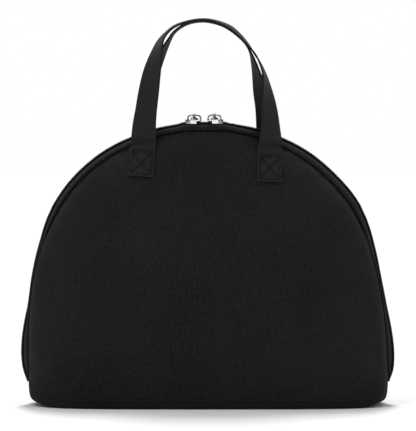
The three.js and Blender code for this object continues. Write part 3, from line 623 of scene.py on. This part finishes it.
class Drape:
    """Lengths along the cloth of a panel, from a coarse grid of depths over its face."""

    COLUMNS, ROWS = 84, 64

    def __init__(self, tree, sign):
        self.dx = 2 * HALF_WIDTH / self.COLUMNS
        self.dz = BAG_HEIGHT / self.ROWS
        depth = []
        for j in range(self.ROWS + 1):
            xs = [-HALF_WIDTH + i * self.dx for i in range(self.COLUMNS + 1)]
            depth.append([self._depth(tree, sign, x, j * self.dz) for x in xs])
        half = self.COLUMNS // 2
        self.u = [[0.0] * (self.COLUMNS + 1) for _ in depth]
        self.v = [[0.0] * (self.COLUMNS + 1) for _ in depth]
        for j, row in enumerate(depth):
            for way, end in ((1, self.COLUMNS), (-1, 0)):
                for i in range(half, end, way):
                    self.u[j][i + way] = self.u[j][i] + way * math.hypot(self.dx, row[i + way] - row[i])
            if j:
                for i in range(self.COLUMNS + 1):
                    self.v[j][i] = self.v[j - 1][i] + math.hypot(self.dz, depth[j][i] - depth[j - 1][i])

    @staticmethod
    def _depth(tree, sign, x, z):
        hit = tree.ray_cast(Vector((x, sign * 0.2, z)), Vector((0, -sign, 0)))[0]
        return abs(hit.y) if hit else HALF_BAND

    def _read(self, grid, x, z):
        i = min(max((x + HALF_WIDTH) / self.dx, 0.0), self.COLUMNS - 1e-6)
        j = min(max(z / self.dz, 0.0), self.ROWS - 1e-6)
        a, b = int(i), int(j)
        low = lerp(grid[b][a], grid[b][a + 1], i - a)
        high = lerp(grid[b + 1][a], grid[b + 1][a + 1], i - a)
        return lerp(low, high, j - b)

    def along(self, place, _):
        return self._read(self.u, place.x, place.z)

    def up(self, place, _):
        return self._read(self.v, place.x, place.z)


def turn_up_corners(bm):
    """Lifts the soft lower corners a little off the floor."""
    for vertex in bm.verts:
        x, _, z = vertex.co
        rise = CORNER_RISE[0] if x < 0 else CORNER_RISE[1]
        vertex.co.z += rise * hump(abs(x), CORNER_PLACE, CORNER_SPREAD) * smoothstep(0.030, 0, z)


def make_panel(name, node, sign, dents, seed, cloth):
    """A dressed panel. Returns its surface, which the handle lies on."""
    bm = smoothed(name, creased(merged_copy(node), math.radians(55)), 3, PANEL_EDGE)
    for vertex in bm.verts:
        x, _, z = vertex.co
        length, from_zip = rail.nearest(vertex.co)
        vertex.co.y += sign * cloth_rise(dents, seed, x, z)
        open_seam = smoothstep(FOLD_FULL, FOLD_DEEP, z) * smoothstep(SEAM_REACH, SEAM_EDGE, from_zip)
        vertex.co -= rail.at(length)[1] * (SEAM_DROP * open_seam)
    turn_up_corners(bm)
    tree = BVHTree.FromBMesh(bm)
    drape = Drape(tree, sign)
    cloth_map(bm, drape.along, drape.up)
    finish_piece(new_object(name, bm, cloth), "bag", "black_cloth", node)
    return tree


def make_gusset(cloth):
    bm = smoothed("gusset", creased(merged_copy("bottom_gusset"), math.radians(50)), 2, GUSSET_EDGE)
    for vertex in bm.verts:
        x, y, z = vertex.co
        climb = smoothstep(0.0005, 0.003, z) * smoothstep(0.019, 0.012, z)
        end = smoothstep(0.10, 0.13, abs(x))
        wander = 2 * noise.noise(Vector((x * 60, y * 60, 2)))
        wave = math.sin((abs(x) + z * 1.3) * 2 * math.pi / RIPPLE_LENGTH + wander)
        vertex.co.y += math.copysign(RIPPLE_DEPTH * wave * climb * end, y)
        vertex.co.z += 0.0001 * climb * noise.noise(Vector((x * 90, y * 90, 5)))
    turn_up_corners(bm)

    def along(place, normal):
        return place.y if abs(normal.x) > max(abs(normal.y), abs(normal.z)) else place.x

    def up(place, normal):
        return place.y if abs(normal.z) > max(abs(normal.y), abs(normal.x)) else place.z

    cloth_map(bm, along, up)
    finish_piece(new_object("gusset_cloth", bm, cloth), "bag", "black_cloth", "bottom_gusset")


# Zip

def make_tape(name, node, tape):
    bm = smoothed(name, creased(merged_copy(node), math.radians(50)), 2)

    def along(place, _):
        return rail.nearest(place)[0]

    def across(place, _):
        return abs(place.y) + rail.nearest(place)[1]

    cloth_map(bm, along, across)
    finish_piece(new_object(name, bm, tape), "bag", "zip_tape", node)


def grown_ring(bm, edges):
    """The corners and edges of a new ring that is extruded from the last one."""
    grown = bmesh.ops.extrude_edge_only(bm, edges=edges)["geom"]
    ring = [part for part in grown if isinstance(part, bmesh.types.BMVert)]
    return ring, [part for part in grown if isinstance(part, bmesh.types.BMEdge) and part.is_boundary]


def bent_rod(path, radius, sides):
    """A closed rod along a few points, grown from one ring."""
    bm = bmesh.new()
    ring = bmesh.ops.create_circle(bm, cap_ends=True, radius=radius, segments=sides)["verts"]
    edges = list(bm.edges)
    heading = Vector((0, 0, 1))
    place = Vector((0, 0, 0))
    last = len(path) - 1
    for i, point in enumerate(path):
        if i:
            ring, edges = grown_ring(bm, edges)
        ahead = (path[min(i + 1, last)] - path[max(i - 1, 0)]).normalized()
        turn = heading.rotation_difference(ahead).to_matrix().to_4x4()
        about = Matrix.Translation(point) @ turn @ Matrix.Translation(-place)
        bmesh.ops.transform(bm, matrix=about, verts=ring)
        heading, place = ahead, point
    bmesh.ops.holes_fill(bm, edges=edges, sides=sides)
    bmesh.ops.recalc_face_normals(bm, faces=bm.faces)
    return bm


def swept_bar(stations, section):
    """A closed bar whose section of (across, out) points is carried along stations, each a matrix."""
    bm = bmesh.new()
    ring = bmesh.ops.create_circle(bm, cap_ends=True, radius=1, segments=len(section))["verts"]
    for vertex, (across, out) in zip(ring, section):
        vertex.co = stations[0] @ Vector((0, across, out))
    edges = list(bm.edges)
    for before, after in zip(stations, stations[1:]):
        ring, edges = grown_ring(bm, edges)
        bmesh.ops.transform(bm, matrix=after @ before.inverted(), verts=ring)
    bmesh.ops.holes_fill(bm, edges=edges, sides=len(section))
    bmesh.ops.recalc_face_normals(bm, faces=bm.faces)
    return bm


def scattered(name, finish, *groups):
    """One piece made of many copies of small meshes, from groups of (mesh, places of its copies)."""
    bm = bmesh.new()
    for small, places in groups:
        mesh = bpy.data.meshes.new(name)
        small.to_mesh(mesh)
        small.free()
        for place in places:
            before = len(bm.verts)
            bm.from_mesh(mesh)
            bm.verts.ensure_lookup_table()
            bmesh.ops.transform(bm, matrix=place, verts=bm.verts[before:])
        bpy.data.meshes.remove(mesh)
    return new_object(name, bm, finish)


def frame_at(place, along, out):
    """A matrix with x along, z out of the surface and y across."""
    x = along.normalized()
    z = (out - out.dot(x) * x).normalized()
    y = z.cross(x)
    turn = Matrix((x, y, z)).transposed().to_4x4()
    return Matrix.Translation(place) @ turn


# A tooth of the coil and the filler cord in the coil, seen along the zip: across and out from the crest,
# as shares of half the coil's width and of the wire's thickness. A tooth starts at its own tape.
TOOTH = table("across out", [
    (0.86, -2.35),
    (0.93, -1.15),
    (0.74, -0.55),
    (0.22, -0.48),
    (-0.24, -0.66),
    (-0.36, -1.30),
])
FILLER = table("across out", [
    (0.10, -3.60),
    (0.10, -2.75),
    (0.84, -2.75),
    (0.86, -1.80),
    (0.62, -1.02),
    (0.20, -0.84),
    (-0.06, -1.02),
    (-0.06, -3.60),
])


def tooth_mesh(side):
    half = COIL_WIDTH / 2
    path = [Vector((0, side * row["across"] * half, row["out"] * TOOTH_WIRE)) for row in TOOTH]
    return bent_rod(path, TOOTH_RADIUS, 5)


def coil_station(length, side):
    """Where a row of teeth is at a length along the zip: it moves out between the sliders."""
    station = rail.station(length)
    parted = smoothstep(OPEN_REACH, SLIDER_SPACE / 2, abs(station.translation.x - MEET_X))
    return Matrix.Translation((0, side * SLIT_GROWTH * parted, 0)) @ station


def coil_span(part):
    """The lengths along the zip of the left coil, the open teeth or the right coil."""
    low, high = (rail.nearest(Vector((MEET_X + way * COIL_REACH, 0, BAG_HEIGHT)))[0] for way in (-1, 1))
    return {"left": (0.0, low), "open": (low, high), "right": (high, rail.total)}[part]


def make_teeth(name, part, nylon, *nodes):
    """Two rows of interlocked teeth: the front tape's and, half a pitch on, the back tape's."""
    low, high = coil_span(part)
    rows = []
    for side, offset in ((-1, 0.0), (1, 0.5)):
        first = math.ceil(low / TOOTH_PITCH - offset)
        last = math.floor(high / TOOTH_PITCH - offset)
        places = [coil_station((i + offset) * TOOTH_PITCH, side) for i in range(first, last + 1)]
        rows.append((tooth_mesh(side), places))
    finish_piece(scattered(name, nylon, *rows), "bag", "zip_coil", *nodes)


def make_filler(name, side, cord):
    """The woven cord inside a tape's row of teeth, from one end of the zip to the other."""
    open_low, open_high = coil_span("open")
    lengths = [rail.total * i / SEAM_STEPS for i in range(SEAM_STEPS + 1)]
    lengths = sorted(lengths + [lerp(open_low, open_high, (i + 0.5) / 16) for i in range(16)])
    section = [(side * row["across"] * COIL_WIDTH / 2, row["out"] * TOOTH_WIRE) for row in FILLER]
    bar = swept_bar([coil_station(length, side) for length in lengths], section)
    finish_piece(new_object(name, bar, cord), "bag", "zip_tape")


def tree_of(node):
    bm = bmesh.new()
    bm.from_mesh(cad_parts[node].data)
    tree = BVHTree.FromBMesh(bm)
    bm.free()
    return tree


def round_section(radius, sides):
    """(across, out) points of a round bar."""
    turns = [2 * math.pi * i / sides for i in range(sides)]
    return [(radius * math.cos(turn), radius * math.sin(turn)) for turn in turns]


def seam_stations(tape_node, y, drop):
    """Matrices along a seam beside the tape, a drop of its own under the tape's outer face."""
    tree = tree_of(tape_node)
    stations = []
    for i in range(4, SEAM_STEPS - 3):
        place, out = rail.at(rail.total * i / SEAM_STEPS)
        aim = place + out * 0.01
        aim.y = math.copysign(min(abs(y), HALF_BAND - 0.0002), y)
        hit = tree.ray_cast(aim, -out, 0.03)[0]
        if hit:
            seat = Vector((hit.x, y, hit.z)) - out * drop(place.z)
            stations.append(frame_at(seat, Vector((out.z, 0, -out.x)), out))
    return stations


def make_seam_cloth(name, stations, section, cloth):
    """A narrow strip of the panels' own cloth along a seam."""
    bm = swept_bar(stations, section)
    turn_up_corners(bm)
    cloth_map(bm, lambda place, _: place.x + place.z, lambda place, _: place.y - place.z)
    finish_piece(new_object(name, bm, cloth), "bag", "black_cloth")


def make_allowance(name, tape_node, sign, cloth):
    """The turned-in cloth under the seam between tape and panel, which closes the seam from inside."""
    half, top, bottom = ALLOWANCE_HALF, -ALLOWANCE_TOP, -ALLOWANCE_DEPTH
    section = [(half, top), (half, bottom), (-half, bottom), (-half, top)]
    stations = seam_stations(tape_node, sign * ALLOWANCE_PLACE, lambda height: 0.0)
    make_seam_cloth(name, stations, section, cloth)


def make_fold(name, tape_node, sign, cloth):
    """The panel's folded edge beside the tape: deep in the seam over the arch, and full lower down."""
    def drop(height):
        return lerp(FOLD_DROP_DEEP, FOLD_DROP_FULL, smoothstep(FOLD_DEEP, FOLD_FULL, height))

    stations = seam_stations(tape_node, sign * (HALF_BAND + FOLD_PLACE), drop)
    make_seam_cloth(name, stations, round_section(FOLD_RADIUS, 10), cloth)


def make_rim_seam(name, panel_node, cloth):
    """The seam between a panel and the gusset, filled in the middle of their wall."""
    gusset = tree_of("bottom_gusset")
    rim = {}
    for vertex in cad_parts[panel_node].data.vertices:
        if gusset.find_nearest(vertex.co, RIM_TOUCH)[0]:
            rim[tuple(round(part, 6) for part in vertex.co)] = vertex.co.copy()
    order = sorted(rim.values(), key=lambda p: math.atan2(abs(p.y), p.x))
    line = [(a + b) / 2 for a, b in zip(order, order[1:])]
    stations = []
    for before, here, after in zip(line, line[1:], line[2:]):
        stations.append(frame_at(here, after - before, Vector((here.x, 3 * here.y, 0))))
    make_seam_cloth(name, stations, round_section(RIM_RADIUS, 8), cloth)


# Sewing

def stitch_mesh(length):
    """A stitch that rises out of the cloth and dives back in."""
    half = length / 2
    shape = ((-1.0, -0.7), (-0.72, 0.15), (0.0, 0.42), (0.72, 0.15), (1.0, -0.7))
    return bent_rod([Vector((x * half, 0, z * THREAD)) for x, z in shape], THREAD / 2, 6)


def stitch_spots(line):
    """Where the middles of stitches fall along a line: (corner before, share of the way to the next)."""
    carried = STITCH_PITCH / 2
    for i, (a, b) in enumerate(zip(line, line[1:])):
        length = (b - a).length
        while carried <= length:
            yield i, carried / length
            carried += STITCH_PITCH
        carried -= length


def stitch_places(points):
    """Places of stitches along a line of (place, outward) pairs."""
    line = [place for place, _ in points]
    places = []
    for i, q in stitch_spots(line):
        places.append(frame_at(line[i].lerp(line[i + 1], q), line[i + 1] - line[i], points[i][1]))
    return places


def make_tape_stitches(name, tape_node, sign, thread):
    """The stitches that hold a tape to its panel, on the tape's outer face."""
    tree = tree_of(tape_node)
    line = []
    for i in range(8, TAPE_STEPS - 7):
        place, out = rail.at(rail.total * i / TAPE_STEPS)
        aim = place + out * 0.01
        aim.y = sign * (HALF_BAND - TAPE_STITCH_INSET)
        hit, normal, _, _ = tree.ray_cast(aim, -out, 0.03)
        if hit:
            line.append((hit, normal if normal.dot(out) > 0 else -normal))
    places = stitch_places(line)
    obj = scattered(name, thread, (stitch_mesh(STITCH_PITCH * TAPE_STITCH), places))
    finish_piece(obj, "bag", "zip_tape")


# Handles

# A strap's centreline, as the solids have it: across is a share of half the spread of the feet, rise of
# the strap's rise over its lowest foot, forward of the strap's width, and twist is in degrees. Forward is 0
# where the strap is sewn to its panel.
FRONT_STRAP = table("across rise forward twist", [
    (-0.976, 0.034, 0, 0),
    (-0.946, 0.194, 0, 1),
    (-0.933, 0.269, 0.90, 9),
    (-0.919, 0.361, 0.74, 22),
    (-0.898, 0.440, 0.66, 29),
    (-0.856, 0.560, 0.61, 35),
    (-0.815, 0.660, 0.59, 44),
    (-0.757, 0.760, 0.57, 58),
    (-0.684, 0.859, 0.56, 76),
    (-0.598, 0.911, 0.55, 84),
    (-0.432, 0.963, 0.55, 86),
    (-0.009, 1.000, 0.55, 87),
    (0.357, 0.958, 0.55, 83),
    (0.509, 0.912, 0.55, 83),
    (0.630, 0.860, 0.55, 85),
    (0.767, 0.788, 0.55, 90),
    (0.841, 0.737, 0.57, 88),
    (0.909, 0.669, 0.58, 83),
    (0.937, 0.618, 0.59, 76),
    (0.969, 0.524, 0.61, 62),
    (0.993, 0.437, 0.66, 51),
    (1.009, 0.321, 0.80, 39),
    (1.009, 0.246, 0.97, 22),
    (1.002, 0.175, 0, 3),
    (0.991, 0.000, 0, 0),
])
BACK_STRAP = table("across rise forward twist", [
    (-0.981, 0.022, 0, 0),
    (-0.969, 0.190, 0, 1),
    (-0.954, 0.269, 0.90, 9),
    (-0.935, 0.358, 0.75, 22),
    (-0.902, 0.448, 0.66, 34),
    (-0.828, 0.612, 0.60, 55),
    (-0.781, 0.679, 0.59, 64),
    (-0.676, 0.775, 0.57, 74),
    (-0.548, 0.875, 0.55, 84),
    (-0.465, 0.925, 0.55, 87),
    (-0.272, 0.975, 0.55, 88),
    (-0.019, 0.991, 0.55, 89),
    (0.280, 0.962, 0.55, 90),
    (0.515, 0.899, 0.55, 90),
    (0.635, 0.849, 0.55, 90),
    (0.704, 0.800, 0.56, 88),
    (0.763, 0.726, 0.57, 80),
    (0.809, 0.651, 0.59, 70),
    (0.867, 0.552, 0.61, 55),
    (0.931, 0.452, 0.66, 41),
    (0.970, 0.353, 0.75, 24),
    (0.985, 0.239, 0.98, 7),
    (0.987, 0.172, 0, 1),
    (0.994, 0.011, 0, 0),
])
WEBBING_COLUMNS = 24
WEBBING_ROWS = 560
STRAP_STEPS = 800


def strap_value(rows, column, at):
    """A column read between its rows, by a smooth curve."""
    last = len(rows) - 1
    row = min(int(at), last - 1)
    q = at - row
    low, high = rows[row][column], rows[row + 1][column]
    leave = (high - rows[max(row - 1, 0)][column]) / (2 if row else 1)
    reach = (rows[min(row + 2, last)][column] - low) / (2 if row + 2 <= last else 1)
    return lerp(low, high, (3 - 2 * q) * q * q) + leave * q * (1 - q) ** 2 - reach * q * q * (1 - q)


class Strap:
    """A handle's middle surface, by the share of its rows and the side from -0.5 to 0.5."""

    def __init__(self, rows, tree, sign):
        self.rows, self.tree, self.sign = rows, tree, sign
        lowest = HANDLE_TOP - STRAP_RISE
        self.sewn = [0 if row["forward"] else 1 for row in rows]
        self.path = []
        for row in rows:
            x = HANDLE_OFFSET + row["across"] * FEET_SPREAD / 2
            z = lowest + row["rise"] * STRAP_RISE
            y = row["forward"] * STRAP_WIDTH or self.over_panel(x, z)
            self.path.append(Vector((x, y, z)))
        self.lengths = running_lengths([self.at(i / STRAP_STEPS, 0) for i in range(STRAP_STEPS + 1)])
        self.total = self.lengths[-1]

    def over_panel(self, x, z):
        """The strap's depth where it lies on the dressed panel."""
        hit, normal, _, _ = self.tree.ray_cast(Vector((x, self.sign * 0.2, z)), Vector((0, -self.sign, 0)))
        lift = (SEWN_GAP + STRAP_WALL / 2) / max(abs(normal.y), 0.5) if hit else 0
        return abs(hit.y) + lift if hit else HALF_BAND

    def at(self, share, side):
        last = len(self.rows) - 1
        at = share * last
        row = min(int(at), last - 1)
        sewn = lerp(self.sewn[row], self.sewn[row + 1], at - row)
        point = curve_point(self.path, share)
        ahead = curve_point(self.path, min(share + 1e-3, 1)) - curve_point(self.path, max(share - 1e-3, 0))
        across = Vector((ahead.z, 0, -ahead.x)).normalized()
        twist = math.radians(strap_value(self.rows, "twist", at))
        flat = side * STRAP_WIDTH * math.cos(twist)
        x, z = point.x + across.x * flat, point.z + across.z * flat
        free = point.y + side * STRAP_WIDTH * math.sin(twist)
        y = lerp(free, self.over_panel(x, z), sewn) if sewn > 0 else free
        return Vector((x, self.sign * y, z))

    def surface(self, length, across, lift):
        """A place over the outer face and the outward direction there."""
        share, side = share_at_length(self.lengths, length), across / STRAP_WIDTH
        here = self.at(share, side)
        along = self.at(min(share + 2e-3, 1), side) - self.at(max(share - 2e-3, 0), side)
        wide = self.at(share, min(side + 0.05, 0.5)) - self.at(share, max(side - 0.05, -0.5))
        out = along.cross(wide).normalized() * -self.sign
        if out.y * self.sign < 0 and abs(out.y) > 0.2:
            out = -out
        return here + out * (STRAP_WALL / 2 + lift), out

    def box(self, start, foot):
        """The stitched box and its cross on a foot: lines of (length, across) corners."""
        wide = STRAP_WIDTH / 2 - BOX_INSET
        near, far = start, start + foot * BOX_HEIGHT
        corners = [(near, -wide), (near, wide), (far, wide), (far, -wide)]
        second = far - foot * SECOND_ROW
        rows = [corners + corners[:1], [(second, -wide), (second, wide)]]
        return rows + [[corners[0], (second, wide)], [corners[1], (second, -wide)]]

    def foot_lines(self):
        return self.box(BOX_START, 1) + self.box(self.total - BOX_START, -1)


def near_line(lines, length, across):
    """The distance from a place on the strap to the nearest sewn line."""
    best = 1.0
    here = Vector((length, across))
    for line in lines:
        for a, b in zip(line, line[1:]):
            start, run = Vector(a), Vector(b) - Vector(a)
            q = min(max((here - start).dot(run) / run.length_squared, 0), 1)
            best = min(best, (here - start - run * q).length)
    return best


def stitch_middles(lines):
    """The middles of the stitches along sewn lines, where the thread presses the webbing in."""
    middles = []
    for line in lines:
        corners = [Vector(corner) for corner in line]
        middles += [corners[i].lerp(corners[i + 1], q) for i, q in stitch_spots(corners)]
    return middles


def make_handle(name, node, strap, webbing):
    bm = bmesh.new()
    bmesh.ops.create_grid(bm, x_segments=WEBBING_ROWS, y_segments=WEBBING_COLUMNS, size=0.5)
    lines = strap.foot_lines()
    middles = stitch_middles(lines)
    foot_end = BOX_HEIGHT + BOX_START + FOOT_MARGIN
    layer = bm.loops.layers.uv.new("cloth")
    # Painted shade for the stitch hollows and sewn grooves, which the webbing's colour reads.
    pressed = bm.verts.layers.float.new("pressed")
    spots = {spot: ((spot.co.x + 0.5) * strap.total, spot.co.y * STRAP_WIDTH) for spot in bm.verts}
    for face in bm.faces:
        for loop in face.loops:
            loop[layer].uv = spots[loop.vert]
    for vertex, (length, across) in spots.items():
        place, out = strap.surface(length, across, 0)
        place = place - out * STRAP_WALL / 2
        from_end = min(length, strap.total - length)
        if from_end < foot_end:
            from_line = near_line(lines, length, across)
            from_stitch = min((Vector((length, across)) - middle).length for middle in middles)
            hollow = hump(from_stitch, 0, 0.0009)
            groove = hump(from_line, 0, 0.0006)
            quilt = smoothstep(0.0008, 0.004, from_line) - groove - hollow
            inside = smoothstep(foot_end, foot_end - FOOT_MARGIN / 2, from_end)
            place += out * (SEWN_DEPTH * quilt * inside + FOOT_LIP * hump(from_end, 0.0004, 0.0011))
            # Painted shade: darkest in each stitch's hollow, and a little along the sewn lines.
            vertex[pressed] = min(1.9 * hollow + 0.1 * groove, 1.6)
        cords = noise.noise(Vector((length * 60, across * 90, 3 * strap.sign))) * 0.00012
        vertex.co = place + out * cords
    bmesh.ops.recalc_face_normals(bm, faces=bm.faces)
    obj = new_object(name, bm, webbing)
    wall = obj.modifiers.new("wall", "SOLIDIFY")
    wall.thickness = STRAP_WALL
    wall.offset = 0
    round_edges(obj, "selvage", SELVAGE, 2, 50)
    finish_piece(obj, "bag", "black_webbing", node)


def make_handle_stitches(name, strap, thread):
    places = []
    for line in strap.foot_lines():
        points = []
        for a, b in zip(line, line[1:]):
            run = Vector(b) - Vector(a)
            steps = max(int(run.length / SEWN_STEP), 2)
            for i in range(steps + (b == line[-1])):
                spot = Vector(a) + run * (i / steps)
                points.append(strap.surface(spot.x, spot.y, -THREAD_SUNK))
        places += stitch_places(points)
    obj = scattered(name, thread, (stitch_mesh(STITCH_PITCH * HANDLE_STITCH), places))
    finish_piece(obj, "bag", "black_webbing")


# Sliders and pulls

def cut_window(bm, side, middle):
    """A shallow window in a slider's side, round a place on it."""
    lowest = middle.z - 0.001
    outer = [face for face in bm.faces if face.normal.y * side > 0.9]
    flanges = [face for face in outer if face.calc_center_median().z > lowest]
    for axis, reach in ((0, WINDOW_LENGTH / 2), (2, WINDOW_HEIGHT / 2)):
        for way in (-1, 1):
            place, normal = middle.copy(), Vector((0, 0, 0))
            place[axis] += way * reach
            normal[axis] = 1
            geom = [part for face in flanges for part in (face, *face.edges, *face.verts)]
            cut = bmesh.ops.bisect_plane(bm, geom=list(dict.fromkeys(geom)), plane_co=place, plane_no=normal)
            flanges = [part for part in cut["geom"] if isinstance(part, bmesh.types.BMFace)]
    window = min(flanges, key=lambda face: (face.calc_center_median() - middle).length)
    bmesh.ops.inset_individual(bm, faces=[window], thickness=WINDOW_FRAME, depth=-WINDOW_SUNK)


def make_metal(name, node, body, metal, windows=()):
    """A solid's own shape with the softened edges of a casting."""
    bm = merged_copy(node, join=False)
    bmesh.ops.dissolve_limit(bm, angle_limit=math.radians(3), verts=bm.verts, edges=bm.edges)
    for side, middle in windows:
        cut_window(bm, side, middle)
    obj = new_object(name, bm, metal)
    round_edges(obj, "casting", CAST_EDGE, 3, 35).harden_normals = True
    finish_piece(obj, body, "slider_metal", node)


# Stage

def make_stage():
    finish = Finish("pale floor", Roughness=0.9, Specular_IOR_Level=0.1)
    finish.coloured(finish.noise(finish.place(), 3), "floor")
    bm = bmesh.new()
    bmesh.ops.create_grid(bm, x_segments=2, y_segments=2, size=8)
    new_object("floor", bm, finish.data)


def area_light(name, place, aim, size, power):
    data = bpy.data.lights.new(name, "AREA")
    data.shape = "RECTANGLE"
    data.size, data.size_y = size
    data.energy = power
    light = bpy.data.objects.new(name, data)
    scene.collection.objects.link(light)
    light.location = place
    light.rotation_euler = (Vector(aim) - Vector(place)).to_track_quat("-Z", "Y").to_euler()


def light_studio():
    """A white room, dark in places as metal reflects it, with a plain white backdrop and the softboxes."""
    world = bpy.data.worlds.new("studio")
    scene.world = world
    nodes = Nodes(world)
    white = {"Color": (1, 1, 1, 1)}
    room = nodes.add("ShaderNodeBackground", {}, {**white, "Strength": ROOM_LIGHT})
    backdrop = nodes.add("ShaderNodeBackground", {}, white)
    height = nodes.parts(nodes.add("ShaderNodeTexCoord", {}, {}, "Generated"))[2] * 0.5 + 0.5
    grey = nodes.add("ShaderNodeValToRGB", {"stops": REFLECTED_ROOM}, {"Fac": height}, "Color")
    reflected = nodes.add("ShaderNodeBackground", {}, {"Color": grey})
    by_metal = nodes.add("ShaderNodeLightPath", {}, {}, "Is Glossy Ray")
    by_camera = nodes.add("ShaderNodeLightPath", {}, {}, "Is Camera Ray")
    lit = nodes.add("ShaderNodeMixShader", {}, {"Fac": by_metal, 1: room, 2: reflected})
    seen = nodes.add("ShaderNodeMixShader", {}, {"Fac": by_camera, 1: lit, 2: backdrop})
    nodes.tree.links.new(seen.socket, nodes.tree.nodes["World Output"].inputs["Surface"])
    for name, light in SOFTBOXES.items():
        area_light(name, *light)
    scene.view_settings.view_transform = "Standard"


def place_camera():
    data = bpy.data.cameras.new("camera")
    data.sensor_fit = "HORIZONTAL"
    data.sensor_width = 36
    data.lens = CAMERA_LENS
    data.clip_end = 50
    camera = bpy.data.objects.new("camera", data)
    scene.collection.objects.link(camera)
    back = Vector((0, -math.cos(CAMERA_ELEVATION), math.sin(CAMERA_ELEVATION)))
    camera.location = CAMERA_TARGET + back * CAMERA_DISTANCE
    camera.rotation_euler = (math.pi / 2 - CAMERA_ELEVATION, 0, 0)
    scene.camera = camera


place_camera()
make_stage()
light_studio()

cotton = woven_cloth()
tape = woven_tape()
webbing = ribbed_webbing()
handle_thread = sewing_thread("handle thread")
tape_thread = sewing_thread("tape thread")
nylon = nylon_coil()
nickel = bright_nickel()

front_surface = make_panel("front_panel_cloth", "front_panel", -1, FRONT_DENTS, 1.5, cotton)
back_surface = make_panel("back_panel_cloth", "back_panel", 1, BACK_DENTS, 8.5, cotton)
make_gusset(cotton)
for face, sign in SIDES:
    make_tape("tape_%s_woven" % face, "zip_tape_" + face, tape)
for face, sign in SIDES:
    make_tape_stitches("tape_%s_stitches" % face, "zip_tape_" + face, sign, tape_thread)
make_teeth("coil_left_teeth", "left", nylon, "zip_coil_left")
make_teeth("coil_right_teeth", "right", nylon, "zip_coil_right")
make_teeth("coil_open_teeth", "open", nylon)
for face, sign in SIDES:
    make_filler("coil_%s_filler" % face, sign, tape)
for face, sign in SIDES:
    make_allowance("seam_allowance_" + face, "zip_tape_" + face, sign, cotton)
    make_fold("seam_fold_" + face, "zip_tape_" + face, sign, cotton)
    make_rim_seam("rim_seam_" + face, face + "_panel", cotton)

straps = {"front": Strap(FRONT_STRAP, front_surface, -1), "back": Strap(BACK_STRAP, back_surface, 1)}
for face, strap in straps.items():
    make_handle("handle_%s_webbing" % face, "handle_" + face, strap, webbing)
for face, strap in straps.items():
    make_handle_stitches("handle_%s_stitches" % face, strap, handle_thread)

for side, way in (("left", -1), ("right", 1)):
    low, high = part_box("slider_" + side)
    x = (low.x if way < 0 else high.x) - way * WINDOW_PLACE
    windows = [(face, Vector((x, face * WINDOW_DEPTH, WINDOW_RISE))) for face in (-1, 1)]
    make_metal("slider_%s_metal" % side, "slider_" + side, "bag", nickel, windows)
    make_metal("pull_%s_metal" % side, "pull_" + side, side + "_pull", nickel)
